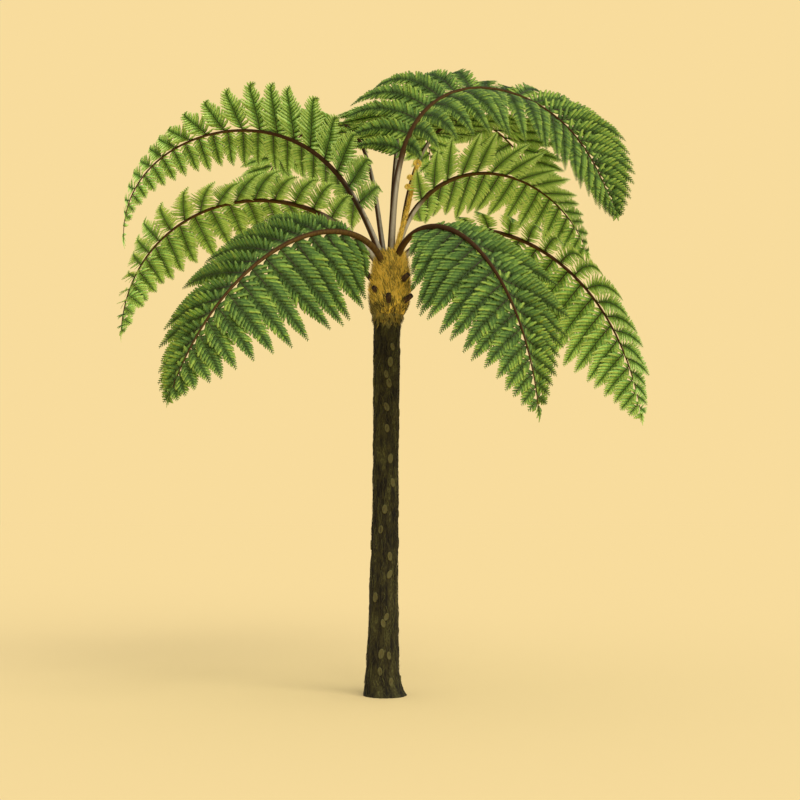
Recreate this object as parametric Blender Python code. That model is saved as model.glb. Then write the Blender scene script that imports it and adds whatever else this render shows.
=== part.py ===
"""Tree fern: one upright trunk, a scaly crown head, ten arching fronds and a young crozier.

Metres, +Z up.  The origin is on the ground at the centre of the trunk's flat cut.
+X is to the right of the front view and +Y is away from it.
"""

import math
from dataclasses import dataclass

import bmesh
import bpy
import numpy as np

# ---------------------------------------------------------------- driving dimensions
GAP = 0.0006                 # clearance between neighbouring solids
UP = np.array((0.0, 0.0, 1.0))

TRUNK_SIDES = 24
TRUNK_TOP = 2.985            # the trunk ends under the scaly head
# height, radius and sideways lean of the trunk's axis
TRUNK_PROFILE = (
    (0.00, 0.172, 0.000),
    (0.035, 0.156, -0.008),
    (0.12, 0.136, -0.020),
    (0.32, 0.122, -0.018),
    (0.75, 0.112, -0.014),
    (1.40, 0.100, -0.002),
    (2.10, 0.098, 0.004),
    (2.70, 0.102, 0.009),
    (TRUNK_TOP, 0.105, 0.012),
)

HEAD_TOP = 3.52
HEAD_SIDES = 24
HEAD_PROFILE = (
    (TRUNK_TOP + GAP, 0.108, 0.014),
    (3.04, 0.136, 0.022),
    (3.12, 0.156, 0.030),
    (3.28, 0.154, 0.036),
    (3.42, 0.132, 0.042),
    (HEAD_TOP, 0.106, 0.048),
)

STEM_SIDES = 8
STEM_STEPS = 8
TIP_RADIUS = 0.002           # added to every rib so that its tip keeps some body
RIB_FALL = 1.15              # how fast a rib thins out towards its tip
MIDRIB_STEPS = 160           # steps used to trace a midrib
PINNA_STEPS = 12             # steps used to trace a side leaf
PINNA_SPANS = 3              # spans kept across each side of a blade
TEETH = 9                    # scallops along one edge of a blade
NOTCH = 0.80                 # depth of the edge between two scallops
BLADE_SPLIT = 0.46           # where the inner and the outer half of a blade meet
JOINT_GAP = 0.0015           # between the two halves of a blade
STIPE_END_GAP = 0.014        # between a bare stipe and its blade
EDGE_HALF = 0.004            # half thickness at a blade's edge
FIELD_HALF = 0.007           # half thickness next to the rib
PINNA_PEAK = 0.30            # where along the blade the side leaves are longest

STUMP_RADIUS = 0.022
# bearing in degrees around the head's axis, height, rise in degrees above level, and length
STUMPS = (
    (188, 3.300, 50, 0.105),
    (310, 3.285, 26, 0.085),
    (324, 3.125, 28, 0.075),
    (228, 3.200, 30, 0.045),
    (268, 3.125, 50, 0.050),
    (20, 3.230, 40, 0.060),
    (75, 3.120, 40, 0.060),
    (135, 3.215, 40, 0.060),
)

CROZIER_COIL_RADIUS = 0.030
CROZIER_COIL_HALF_WIDTH = 0.016
# position along the crozier's stem of each coiled young side leaf
CROZIER_COILS = (0.79, 0.89)
CROZIER_TOP_RADIUS = 0.040

TRUNK_COLOUR = (0.036, 0.027, 0.014)
HEAD_COLOUR = (0.36, 0.22, 0.055)
STIPE_COLOUR = (0.30, 0.26, 0.20)
STUMP_COLOUR = (0.06, 0.04, 0.02)
CROZIER_COLOUR = (0.52, 0.34, 0.11)
DARK_BLADE = (0.10, 0.19, 0.045)
LIGHT_BLADE = (0.22, 0.32, 0.07)


@dataclass
class Frond:
    """One frond, from its foot inside the head to its tip.

    Angles are in degrees.  heading is the compass way of the midrib seen from above
    (0 is +X, 90 is +Y), lean is its slope above level, and twist turns the blade about
    the midrib.  spread is the angle between midrib and side leaf, raised lifts the side
    leaves: both are given for the left row at the blade's base and tip, then for the right
    row.  droop lets the side leaves hang, for the left and the right row.
    The fullness of a blade is the length of its lowest side leaves as a part of the longest,
    and a power: a larger one keeps them long nearer to the tip.
    """

    name: str
    foot: tuple
    length: float
    stipe: float             # bare part of the length
    radius: float            # rib radius at the foot
    heading: tuple
    lean: tuple
    bend: float              # below 1 the frond bends early, above 1 it bends late
    twist: tuple
    spread: tuple
    raised: tuple
    droop: tuple
    pinna: float             # longest side leaf
    colour: tuple
    fullness: tuple = (0.55, 1.7)


FRONDS = (
    Frond("upper_left", (-0.03, 0.03, 3.485), 3.7, 0.145, 0.023,
          (134, 154, 220), (62.5, 61.5, -25, -100), 1.02,
          (48, 40, 47), (84, 126, 86, 97), (10, 4, 18, 6),
          (0.0, 0.2), 0.54, LIGHT_BLADE, fullness=(1.34, 1.45)),
    Frond("lower_left", (-0.05, -0.02, 3.415), 3.02, 0.18, 0.022,
          (169, 176, 222), (57, 16, -51, -91), 1.0,
          (29, 16, 33), (105, 99, 99, 90), (-2, -28, 16, -14),
          (0.07, 0.11), 0.66, LIGHT_BLADE, fullness=(0.8, 2.3)),
    Frond("front_left", (-0.025, -0.09, 3.415), 2.74, 0.131, 0.023,
          (235, 214, 206), (85, 14, -26, -74), 0.43,
          (-41, -53, -6), (118, 45, 105, 49), (-40, -8, -20, -5),
          (0.28, 0.73), 0.75, DARK_BLADE, fullness=(0.4, 2.0)),
    Frond("top", (0.04, 0.05, 3.495), 3.89, 0.232, 0.025,
          (42, 52, -58), (86, 94, -100, -62), 1.11,
          (4, 42, 52), (95, 42, 112, 38), (32, 9, 28, -7),
          (1.2, 1.05), 0.9, DARK_BLADE, fullness=(0.46, 1.75)),
    Frond("right", (0.085, 0.015, 3.47), 2.72, 0.186, 0.022,
          (35, 33, 22), (82, 23, -11, -75), 1.0,
          (-46, -22, -10), (90, 73, 95, 90), (8, -7, -5, -37),
          (0.0, 0.0), 0.69, LIGHT_BLADE, fullness=(0.9, 2.6)),
    Frond("low_right", (0.1, 0.0, 3.395), 3.01, 0.2, 0.021,
          (-1, -2, 2), (81, 34, -44, -83), 0.51,
          (-36, -36, -28), (106, 59, 99, 67), (-20, -17, -17, -22),
          (0.3, 0.9), 0.78, LIGHT_BLADE, fullness=(0.55, 1.7)),
    Frond("front_right", (0.09, -0.07, 3.455), 2.78, 0.185, 0.023,
          (-63, -56, -51), (76, 18, -27, -85), 0.43,
          (18, 11, -10), (67, 76, 69, 55), (-12, -13, -26, -12),
          (0.32, 0.59), 0.76, DARK_BLADE, fullness=(0.4, 1.7)),
    Frond("back_left", (-0.01, 0.085, 3.485), 3.5, 0.36, 0.019,
          (107, 112, 154), (63, 92, -24, -70), 1.0,
          (3, 3, 3), (95, 55, 95, 55), (0, 0, 0, 0),
          (0.43, 0.43), 0.7, LIGHT_BLADE),
    Frond("back", (0.045, 0.102, 3.46), 3.5, 0.36, 0.019,
          (77, 84, 76), (88, 76, -3, -54), 1.0,
          (-2, -2, -2), (95, 55, 95, 55), (0, 0, 0, 0),
          (0.17, 0.17), 0.7, DARK_BLADE),
    Frond("back_right", (0.105, 0.08, 3.44), 3.5, 0.36, 0.019,
          (55, 56, 34), (81, 78, -24, -86), 1.0,
          (8, 8, 8), (95, 55, 95, 55), (0, 0, 0, 0),
          (0.22, 0.22), 0.7, LIGHT_BLADE),
)

CROZIER = Frond("crozier", (0.062, -0.02, 3.46), 0.78, 1.0, 0.02,
                (0, 0, 0), (74, 75, 77, 78), 1.0,
                (0, 0, 0), (90, 90, 90, 90), (0, 0, 0, 0),
                (0, 0), 0.1, CROZIER_COLOUR)


# ---------------------------------------------------------------- small helpers
def clear_scene():
    for thing in list(bpy.data.objects):
        bpy.data.objects.remove(thing, do_unlink=True)


def plain_material(name, colour, roughness):
    material = bpy.data.materials.new(name)
    material.use_nodes = True
    shader = material.node_tree.nodes["Principled BSDF"]
    shader.inputs["Base Color"].default_value = (*colour, 1.0)
    shader.inputs["Roughness"].default_value = roughness
    shader.inputs["Metallic"].default_value = 0.0
    return material


def unit(vectors):
    return vectors / np.linalg.norm(vectors, axis=-1, keepdims=True)


def blend(values, t):
    """Smooth run through a few control values (a Bezier curve of one number)."""
    layers = [np.asarray(value, float) + 0.0 * t for value in values]
    while len(layers) > 1:
        layers = [a + (b - a) * t for a, b in zip(layers, layers[1:])]
    return layers[0]


def solid_from_rings(name, rings, material):
    """Closed body through rings with equally many points, with a flat fan at each end."""
    mesh = bpy.data.meshes.new(name)
    bm = bmesh.new()
    loops = [[bm.verts.new(point) for point in ring] for ring in rings]
    for lower, upper in zip(loops, loops[1:]):
        for i in range(len(lower)):
            k = (i + 1) % len(lower)
            bm.faces.new((lower[i], lower[k], upper[k], upper[i]))
    bm.faces.new(list(reversed(loops[0])))
    bm.faces.new(loops[-1])
    bmesh.ops.recalc_face_normals(bm, faces=bm.faces)
    bmesh.ops.triangulate(bm, faces=[face for face in bm.faces if len(face.verts) > 4])
    bm.to_mesh(mesh)
    bm.free()
    mesh.materials.append(material)
    body = bpy.data.objects.new(name, mesh)
    bpy.context.collection.objects.link(body)
    return body


# ---------------------------------------------------------------- trunk and head
def level_ring(z, radius, shift, sides):
    angles = np.arange(sides) * 2 * math.pi / sides
    return np.stack((shift + radius * np.cos(angles),
                     radius * np.sin(angles),
                     np.full(sides, z)), axis=-1)


def turned_body(name, profile, sides, material):
    rings = [level_ring(z, radius, shift, sides) for z, radius, shift in profile]
    body = solid_from_rings(name, rings, material)
    body.data.shade_smooth()
    body.data.set_sharp_from_angle(angle=math.radians(40))
    return body


def head_radius(z):
    heights, radii, _ = zip(*HEAD_PROFILE)
    return np.interp(z, heights, radii)


def head_axis(z):
    heights, _, shifts = zip(*HEAD_PROFILE)
    return np.interp(z, heights, shifts)


def head_normal(point):
    """Outward direction of the head's surface at a point on it."""
    if point[2] > HEAD_TOP - 0.001:
        return UP
    step = 0.004
    height = min(point[2], HEAD_TOP - step)
    outward = unit(np.array((point[0] - head_axis(height), point[1], 0.0)))
    growth = head_radius(height + step) - head_radius(height - step)
    shift = (head_axis(height + step) - head_axis(height - step)) * outward[0]
    return unit(outward - (growth + shift) / (2 * step) * UP)


def inside_head(point):
    reach = math.hypot(point[0] - head_axis(point[2]), point[1])
    return point[2] < HEAD_TOP and reach < head_radius(point[2])


# ---------------------------------------------------------------- fronds
class Midrib:
    """The traced curve of a frond's rib, with the blade's directions along it."""

    def __init__(self, frond):
        t = np.linspace(0.0, 1.0, MIDRIB_STEPS + 1)
        lean = np.radians(blend(frond.lean, np.maximum(t, 1e-9) ** frond.bend))
        heading = np.radians(blend(frond.heading, t))
        twist = np.radians(blend(frond.twist, t))
        forward = np.stack((np.cos(lean) * np.cos(heading),
                            np.cos(lean) * np.sin(heading),
                            np.sin(lean)), axis=-1)
        level = np.stack((-np.sin(heading), np.cos(heading), 0.0 * heading), axis=-1)
        top = np.cross(forward, level)
        steps = unit(forward[1:] + forward[:-1]) * frond.length / MIDRIB_STEPS
        self.t = t
        self.points = np.vstack((np.zeros(3), np.cumsum(steps, axis=0))) + np.array(frond.foot)
        self.forward = forward
        self.left = np.cos(twist)[:, None] * level + np.sin(twist)[:, None] * top
        self.top = np.cos(twist)[:, None] * top - np.sin(twist)[:, None] * level
        self.frond = frond

    def read(self, field, t):
        return np.array([np.interp(t, self.t, field[:, axis]) for axis in range(3)])

    def point(self, t):
        return self.read(self.points, t)

    def direction(self, field, t):
        return unit(self.read(field, t))

    def radius(self, t):
        return self.frond.radius * (1.0 - t) ** RIB_FALL + TIP_RADIUS

    def side_leaf(self, u, side, reach):
        """Points along a side leaf, where u runs from 0 to 1 along the blade."""
        frond = self.frond
        t = frond.stipe + (1.0 - frond.stipe) * u
        forward = self.direction(self.forward, t)
        top = self.direction(self.top, t)
        left = self.direction(self.left, t)
        row = 0 if side > 0 else 1
        eased = u * u * (3.0 - 2.0 * u)
        at_base, at_tip = frond.spread[2 * row:2 * row + 2]
        spread = math.radians(at_base + (at_tip - at_base) * eased)
        at_base, at_tip = frond.raised[2 * row:2 * row + 2]
        raised = math.radians(at_base + (at_tip - at_base) * u)
        outward = side * left * math.cos(raised) + top * math.sin(raised)
        start = math.cos(spread) * forward + math.sin(spread) * outward
        part = pinna_part(u, *frond.fullness)
        length = max(frond.pinna * part * reach, 0.015)
        v = np.linspace(0.0, 1.0, PINNA_STEPS + 1)[:, None]
        hang = frond.droop[row] * (0.35 + 0.65 * part)
        way = unit(start - hang * v ** 1.3 * UP)
        steps = unit(way[1:] + way[:-1]) * length / PINNA_STEPS
        curve = np.vstack((np.zeros(3), np.cumsum(steps, axis=0))) + self.point(t)
        return curve[::PINNA_STEPS // PINNA_SPANS]


def pinna_part(u, at_base, power):
    """Length of a side leaf as a part of the longest one."""
    rise = math.sin(min(u / PINNA_PEAK, 1.0) * math.pi / 2)
    fall = 1.0 - max((u - PINNA_PEAK) / (1.0 - PINNA_PEAK), 0.0) ** power
    return (at_base + (1.0 - at_base) * rise) * fall


def ring_about(centre, forward, radius, sides):
    across = unit(np.cross(forward, UP + 0.001 * np.array((1.0, 0.0, 0.0))))
    other = np.cross(across, forward)
    angles = np.arange(sides) * 2 * math.pi / sides
    return (centre + radius * np.cos(angles)[:, None] * across
            + radius * np.sin(angles)[:, None] * other)


def seat_ring(ring, forward, seat_point, seat_normal):
    """Slides a ring's points along the stem onto the plane that it springs from."""
    drop = (ring - seat_point) @ seat_normal / (forward @ seat_normal)
    return ring - drop[:, None] * forward


def stem_rings(midrib, end, steps=STEM_STEPS):
    start = 0.0
    while inside_head(midrib.point(start)):
        start += 0.0005
    seat_normal = head_normal(midrib.point(start))
    seat_point = midrib.point(start) + GAP * seat_normal
    clear = start + 0.035 / midrib.frond.length
    rings = []
    for t in np.linspace(clear, end, steps):
        forward = midrib.direction(midrib.forward, t)
        rings.append(ring_about(midrib.point(t), forward, midrib.radius(t), STEM_SIDES))
    forward = midrib.direction(midrib.forward, clear)
    rings.insert(0, seat_ring(rings[0], forward, seat_point, seat_normal))
    return rings


def blade_row(midrib, u, reach):
    """Top and bottom points across the blade at one station, from left edge to right edge."""
    left = midrib.side_leaf(u, 1, reach)
    right = midrib.side_leaf(u, -1, reach)
    frond = midrib.frond
    t = frond.stipe + (1.0 - frond.stipe) * u
    forward = midrib.direction(midrib.forward, t)
    top = midrib.direction(midrib.top, t)
    centres = np.vstack((left[:0:-1], right))
    across = np.gradient(centres, axis=0)
    normals = np.cross(across, forward)
    normals = unit(normals * np.sign(normals @ top)[:, None])
    field = np.linspace(EDGE_HALF, FIELD_HALF, PINNA_SPANS)
    half = np.concatenate((field, [max(midrib.radius(t), FIELD_HALF)], field[::-1]))
    offset = normals * half[:, None]
    return centres + offset, centres - offset


def blade_solid(name, midrib, low, high, material):
    """One half of a blade: a thin sheet with a scalloped edge and a thick middle rib."""
    first = math.ceil(low * TEETH * 2 + 0.25)
    last = math.floor(high * TEETH * 2 - 0.25)
    stations = [low] + [k / (2 * TEETH) for k in range(first, last + 1)] + [high]
    rings = []
    for u in stations:
        tooth = abs(math.cos(math.pi * u * TEETH))
        top, bottom = blade_row(midrib, u, NOTCH + (1.0 - NOTCH) * tooth)
        rings.append(np.vstack((top, bottom[::-1])))
    return solid_from_rings(name, rings, material)


def build_frond(frond):
    midrib = Midrib(frond)
    stipe_material = plain_material(f"stipe_{frond.name}", STIPE_COLOUR, 0.6)
    blade_material = plain_material(f"blade_{frond.name}", frond.colour, 0.65)
    blade_length = frond.length * (1.0 - frond.stipe)
    rings = stem_rings(midrib, frond.stipe - STIPE_END_GAP / frond.length)
    stipe = solid_from_rings(f"stipe_{frond.name}", rings, stipe_material)
    stipe.data.shade_smooth()
    stipe.data.set_sharp_from_angle(angle=math.radians(50))
    half_gap = JOINT_GAP / blade_length
    blade_solid(f"blade_{frond.name}_inner", midrib, 0.0, BLADE_SPLIT - half_gap,
                blade_material)
    blade_solid(f"blade_{frond.name}_outer", midrib, BLADE_SPLIT + half_gap, 1.0,
                blade_material)


# ---------------------------------------------------------------- stumps and crozier
def build_stump(index, bearing, height, rise, length, material):
    angle = math.radians(bearing)
    outward = np.array((math.cos(angle), math.sin(angle), 0.0))
    surface = outward * head_radius(height)
    surface += np.array((head_axis(height), 0.0, height))
    normal = head_normal(surface)
    rise = math.radians(rise)
    forward = math.cos(rise) * outward + math.sin(rise) * UP
    root = ring_about(surface, forward, STUMP_RADIUS, STEM_SIDES)
    rings = [seat_ring(root, forward, surface + GAP * normal, normal)]
    for along, radius in ((0.85, 0.95), (1.0, 0.75)):
        centre = surface + forward * length * along
        rings.append(ring_about(centre, forward, STUMP_RADIUS * radius, STEM_SIDES))
    solid_from_rings(f"stipe_stump_{index}", rings, material)


def coil_solid(name, centre, radius, half_width, material):
    """A rolled-up young leaf: a fat disc with rounded edges, lying across Y."""
    rings = []
    for along, size in ((-1.0, 0.62), (-0.7, 0.92), (0.0, 1.0), (0.7, 0.92), (1.0, 0.62)):
        place = centre + np.array((0.0, half_width * along, 0.0))
        rings.append(ring_about(place, np.array((0.0, 1.0, 0.0)), radius * size, 12))
    coil = solid_from_rings(name, rings, material)
    coil.data.shade_smooth()


def build_crozier():
    midrib = Midrib(CROZIER)
    material = plain_material("crozier", CROZIER_COLOUR, 0.85)
    solid_from_rings("crozier_stem", stem_rings(midrib, 0.97), material)
    for index, t in enumerate(CROZIER_COILS, start=1):
        aside = midrib.radius(t) + CROZIER_COIL_RADIUS + GAP
        centre = midrib.point(t) + midrib.direction(midrib.top, t) * aside
        coil_solid(f"crozier_coil_{index}", centre, CROZIER_COIL_RADIUS,
                   CROZIER_COIL_HALF_WIDTH, material)
    tip = midrib.point(1.0) + midrib.direction(midrib.forward, 1.0) * CROZIER_TOP_RADIUS
    coil_solid("crozier_coil_top", tip, CROZIER_TOP_RADIUS, CROZIER_COIL_HALF_WIDTH, material)


def main():
    clear_scene()
    turned_body("trunk", TRUNK_PROFILE, TRUNK_SIDES,
                plain_material("trunk", TRUNK_COLOUR, 0.9))
    turned_body("crown_head", HEAD_PROFILE, HEAD_SIDES,
                plain_material("crown_head", HEAD_COLOUR, 0.95))
    stump_material = plain_material("stipe_stump", STUMP_COLOUR, 0.85)
    for index, (bearing, height, rise, length) in enumerate(STUMPS, start=1):
        build_stump(index, bearing, height, rise, length, stump_material)
    for frond in FRONDS:
        build_frond(frond)
    build_crozier()


main()
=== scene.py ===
"""Looks of the tree fern: scarred fibrous trunk, scaly head, ten leafy fronds and a crozier.

Metres, +Z up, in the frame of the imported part.  +X is to the right of the front view.
"""

import math
from dataclasses import dataclass

import bmesh
import bpy
import numpy as np
from mathutils import Matrix, Vector, noise


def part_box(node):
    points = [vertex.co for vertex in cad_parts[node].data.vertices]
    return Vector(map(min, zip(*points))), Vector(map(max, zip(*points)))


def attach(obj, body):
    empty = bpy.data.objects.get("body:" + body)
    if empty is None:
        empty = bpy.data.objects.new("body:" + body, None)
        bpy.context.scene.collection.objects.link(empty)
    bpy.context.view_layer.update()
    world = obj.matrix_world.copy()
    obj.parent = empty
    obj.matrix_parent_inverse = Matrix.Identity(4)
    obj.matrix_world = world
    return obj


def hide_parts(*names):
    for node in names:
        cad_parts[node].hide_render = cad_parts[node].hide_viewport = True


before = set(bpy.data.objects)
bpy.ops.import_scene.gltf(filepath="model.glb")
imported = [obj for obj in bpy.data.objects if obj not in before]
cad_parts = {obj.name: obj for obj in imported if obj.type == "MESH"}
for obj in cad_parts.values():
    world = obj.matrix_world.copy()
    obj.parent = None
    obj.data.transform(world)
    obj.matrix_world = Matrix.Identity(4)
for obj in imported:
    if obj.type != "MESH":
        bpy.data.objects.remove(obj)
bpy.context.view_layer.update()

UP = np.array((0.0, 0.0, 1.0))
SEED = 11
TINY = 1e-9                   # keeps powers and divisions defined at zero
SAME_LEVEL = 0.0002           # between points of one ring of a turned body
MERGE = 0.0001                # doubles closer than this are joined
AXIS_REACH = 0.01             # points nearer to a turned body's axis stay on it

# ---------------------------------------------------------------- view, light and floor
CAMERA_PLACE = (0.116, -10.0, 1.555)
CAMERA_TILT = 4.44           # degrees above level
FOCAL_LENGTH = 56.25         # mm
SENSOR_WIDTH = 36.0          # mm

PAPER = (0.94, 0.715, 0.335)  # warm cream seen behind the plant
SKY_COLOUR = (1.0, 0.985, 0.95)
SUN_COLOUR = (1.0, 0.97, 0.90)
SKY_STRENGTH = 0.85
SUN_STRENGTH = 1.9
SUN_SPREAD = 50.0            # degrees, for soft shadows
SUN_BEARING = -52.0          # degrees from +X towards +Y, so from the right and the front
SUN_HEIGHT = 36.0            # degrees above level
FLOOR_SIZE = 120.0

# ---------------------------------------------------------------- colours (linear)
BARK_DARK = (0.0080, 0.0060, 0.0024)
BARK_OLIVE = (0.036, 0.030, 0.0075)
ROOTLET_BROWN = (0.030, 0.023, 0.009)
ROOTLET_MOSS = (0.085, 0.080, 0.022)
SCAR_OLIVE = (0.095, 0.078, 0.020)
GOLD_DEEP = (0.38, 0.250, 0.034)
GOLD = (0.78, 0.530, 0.070)
GOLD_PALE = (0.88, 0.640, 0.115)
GOLD_OLIVE = (0.20, 0.160, 0.030)
SCALE_DARK = (0.040, 0.030, 0.010)
CUT_DARK = (0.018, 0.009, 0.004)
CUT_BROWN = (0.075, 0.040, 0.015)
# STALK_BROWN is the rachis's own dark brown, and also painted shade on the stalks' shaded side
STALK_BROWN = (0.046, 0.020, 0.006)
STALK_PALE = (0.42, 0.37, 0.27)
STALK_OLIVE = (0.16, 0.125, 0.035)
# painted light: golden on the lit side of brown stalks
STALK_LIT_GOLD = (0.110, 0.062, 0.015)
STALK_RUSSET = (0.055, 0.030, 0.010)
COSTA_GREEN = (0.026, 0.052, 0.011)
COSTA_BROWN = (0.032, 0.024, 0.009)


# ---------------------------------------------------------------- measured from the frame
def rings_of(node):
    """Height, radius and sideways shift of each level ring of a turned CAD node."""
    points = np.array([vertex.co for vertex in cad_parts[node].data.vertices])
    rings = []
    for height in np.unique(points[:, 2].round(4)):
        reach = points[np.abs(points[:, 2] - height) < SAME_LEVEL, 0]
        rings.append((height, (reach.max() - reach.min()) / 2, (reach.min() + reach.max()) / 2))
    return np.array(rings)


TRUNK_RINGS = rings_of("trunk")
HEAD_RINGS = rings_of("crown_head")


def smooth_read(places, values, at):
    """Reads a table with rounded corners (cubic between neighbours)."""
    slopes = np.gradient(values, places)
    at = np.clip(at, places[0], places[-1])
    i = np.clip(np.searchsorted(places, at) - 1, 0, len(places) - 2)
    span = places[i + 1] - places[i]
    f = (at - places[i]) / span
    return ((1 + 2 * f) * (1 - f) ** 2 * values[i] + f * (1 - f) ** 2 * span * slopes[i]
            + f * f * (3 - 2 * f) * values[i + 1] + f * f * (f - 1) * span * slopes[i + 1])


def ring_at(rings, height):
    """Radius and shift of a turned node at a height, on a smooth curve through its rings."""
    heights, radii, shifts = rings.T
    return smooth_read(heights, radii, height), smooth_read(heights, shifts, height)


def on_body(bearing, reach, shift, height):
    """Point at a bearing and reach from a turned body's axis, and the outward direction there."""
    outward = np.array((math.cos(bearing), math.sin(bearing), 0.0))
    return outward * reach + np.array((shift, 0.0, height)), outward


# ---------------------------------------------------------------- fronds, as the part has them
ROW_PLACES = (0.0, 0.30, 0.42, 0.62, 0.85)   # along a blade, for the values of each row
AS_IS = ((0, 0, 0, 0, 0), (0, 0, 0, 0, 0))
REAR_LOUVRE = ((-60, -45, -40, -32, -28), (-60, -45, -40, -32, -28))


@dataclass
class Frond:
    """One frond from its foot inside the head to its tip; angles in degrees.

    The fields down to fullness are those of the part.  stipe is the bare part of the length,
    and spread, raised and droop are those of the left row of side leaves and then of the
    right one.  The other fields are for the looks.  pale is the share of pale leaflets, and
    browns_at is where along the frond its stalk turns brown.  The rest have an entry for the
    left row and one for the right: hook curls the tips of side leaves, pitch spaces them out
    and broad scales their leaflets.  The last four have a value for each of ROW_PLACES:
    louvre turns a side leaf about its own rib, swing is added to spread and lift to raised,
    and bow bends a side leaf back towards the blade's base.
    """

    name: str
    foot: tuple
    length: float
    stipe: float
    radius: float
    heading: tuple
    lean: tuple
    bend: float
    twist: tuple
    spread: tuple
    raised: tuple
    droop: tuple
    pinna: float
    slot: str
    fullness: tuple = (0.55, 1.7)
    hook: tuple = (0.0, 0.0)
    pale: float = 0.3
    browns_at: float = 0.2
    pitch: tuple = (1.0, 1.0)
    broad: tuple = (1.0, 1.0)
    louvre: tuple = AS_IS
    swing: tuple = AS_IS
    lift: tuple = AS_IS
    bow: tuple = AS_IS


FRONDS = (
    Frond("upper_left", (-0.03, 0.03, 3.485), 3.7, 0.145, 0.023,
          (134, 154, 220), (62.5, 61.5, -25, -100), 1.02,
          (48, 40, 47), (84, 126, 86, 97), (10, 4, 18, 6),
          (0.0, 0.2), 0.54, "blade_light", fullness=(1.34, 1.45),
          hook=(2.2, 0.3), pitch=(1.12, 0.95), broad=(1.4, 1.1),
          swing=((38, -12, -14, -46, -50), (-15, -13, -17, -3, -11)),
          lift=((-5, 0, -10, -38, -25), (-12, 1, 8, 0, -5)),
          louvre=((-13, -25, -18, -29, -16), (-32, -18, -2, 14, 32))),
    Frond("lower_left", (-0.05, -0.02, 3.415), 3.02, 0.18, 0.022,
          (169, 176, 222), (57, 16, -51, -91), 1.0,
          (29, 16, 33), (105, 99, 99, 90), (-2, -28, 16, -14),
          (0.07, 0.11), 0.66, "blade_light", fullness=(0.8, 2.3),
          pale=0.6, hook=(1.0, 0.3), broad=(1.15, 1.15),
          swing=((-4, 1, -3, -21, -20), (-4, 1, 0, -3, 0)),
          lift=((2, -6, -8, 14, 10), (2, 1, -1, -5, -5)),
          bow=((0.2, 0.4, 0.35, 0.05, 0), (0, 0, 0, 0, 0)),
          louvre=((3, 43, 50, -4, 58), (-9, 8, 18, 35, 35))),
    Frond("front_left", (-0.025, -0.09, 3.415), 2.74, 0.131, 0.023,
          (235, 214, 206), (85, 14, -26, -74), 0.43,
          (-41, -53, -6), (118, 45, 105, 49), (-40, -8, -20, -5),
          (0.28, 0.73), 0.75, "blade_dark", fullness=(0.4, 2.0),
          pale=0.1, browns_at=-0.1, broad=(1.08, 0.9),
          swing=((0, 0, 0, 0, 0), (-20, -1, 0, 5, -7)),
          lift=((0, 0, 0, 0, 0), (11, -1, 1, -3, 4)),
          louvre=((-50, -22, -11, 14, 24), (-62, -70, -65, -61, -56))),
    Frond("top", (0.04, 0.05, 3.495), 3.89, 0.232, 0.025,
          (42, 52, -58), (86, 94, -100, -62), 1.11,
          (4, 42, 52), (95, 42, 112, 38), (32, 9, 28, -7),
          (1.2, 1.05), 0.9, "blade_dark", fullness=(0.46, 1.75),
          pale=0.5, broad=(0.95, 0.78),
          swing=((-10, -4, -2, -13, 0), (1, -3, 12, 1, -22)),
          lift=((2, -10, -24, 18, 8), (9, -6, -4, 5, 12)),
          louvre=((35, 25, 0, -20, -23), (10, 23, 12, 19, 19))),
    Frond("right", (0.085, 0.015, 3.47), 2.72, 0.186, 0.022,
          (35, 33, 22), (82, 23, -11, -75), 1.0,
          (-46, -22, -10), (90, 73, 95, 90), (8, -7, -5, -37),
          (0.0, 0.0), 0.69, "blade_light", fullness=(0.9, 2.6),
          pale=1.0,
          swing=((-18, -12, -7, -8, -14), (14, 17, 13, 1, -7)),
          lift=((-2, -4, 2, 3, 2), (7, 10, -1, -6, -1)),
          bow=((0, 0, 0, 0, 0), (0.07, -0.06, -0.38, -0.15, 0)),
          louvre=((-41, -27, -25, -3, 17), (-52, -30, -38, -35, -33))),
    Frond("low_right", (0.1, 0.0, 3.395), 3.01, 0.2, 0.021,
          (-1, -2, 2), (81, 34, -44, -83), 0.51,
          (-36, -36, -28), (106, 59, 99, 67), (-20, -17, -17, -22),
          (0.3, 0.9), 0.78, "blade_light", fullness=(0.55, 1.7),
          pale=0.5, broad=(1.2, 0.95),
          louvre=((0, 7, 10, 16, 18), (0, -19, -26, -44, -50))),
    Frond("front_right", (0.09, -0.07, 3.455), 2.78, 0.185, 0.023,
          (-63, -56, -51), (76, 18, -27, -85), 0.43,
          (18, 11, -10), (67, 76, 69, 55), (-12, -13, -26, -12),
          (0.32, 0.59), 0.76, "blade_dark", fullness=(0.4, 1.7),
          pale=0.1, browns_at=-0.1,
          louvre=((-88, -73, -67, -54, -45), (-60, -35, -25, -2, 5))),
    Frond("back_left", (-0.01, 0.085, 3.485), 3.5, 0.36, 0.019,
          (107, 112, 154), (63, 92, -24, -70), 1.0,
          (3, 3, 3), (95, 55, 95, 55), (0, 0, 0, 0),
          (0.43, 0.43), 0.7, "blade_light", browns_at=0.35, louvre=REAR_LOUVRE),
    Frond("back", (0.045, 0.102, 3.46), 3.5, 0.36, 0.019,
          (77, 84, 76), (88, 76, -3, -54), 1.0,
          (-2, -2, -2), (95, 55, 95, 55), (0, 0, 0, 0),
          (0.17, 0.17), 0.7, "blade_dark", browns_at=0.35, louvre=REAR_LOUVRE),
    Frond("back_right", (0.105, 0.08, 3.44), 3.5, 0.36, 0.019,
          (55, 56, 34), (81, 78, -24, -86), 1.0,
          (8, 8, 8), (95, 55, 95, 55), (0, 0, 0, 0),
          (0.22, 0.22), 0.7, "blade_light", browns_at=0.35, louvre=REAR_LOUVRE),
)

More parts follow.
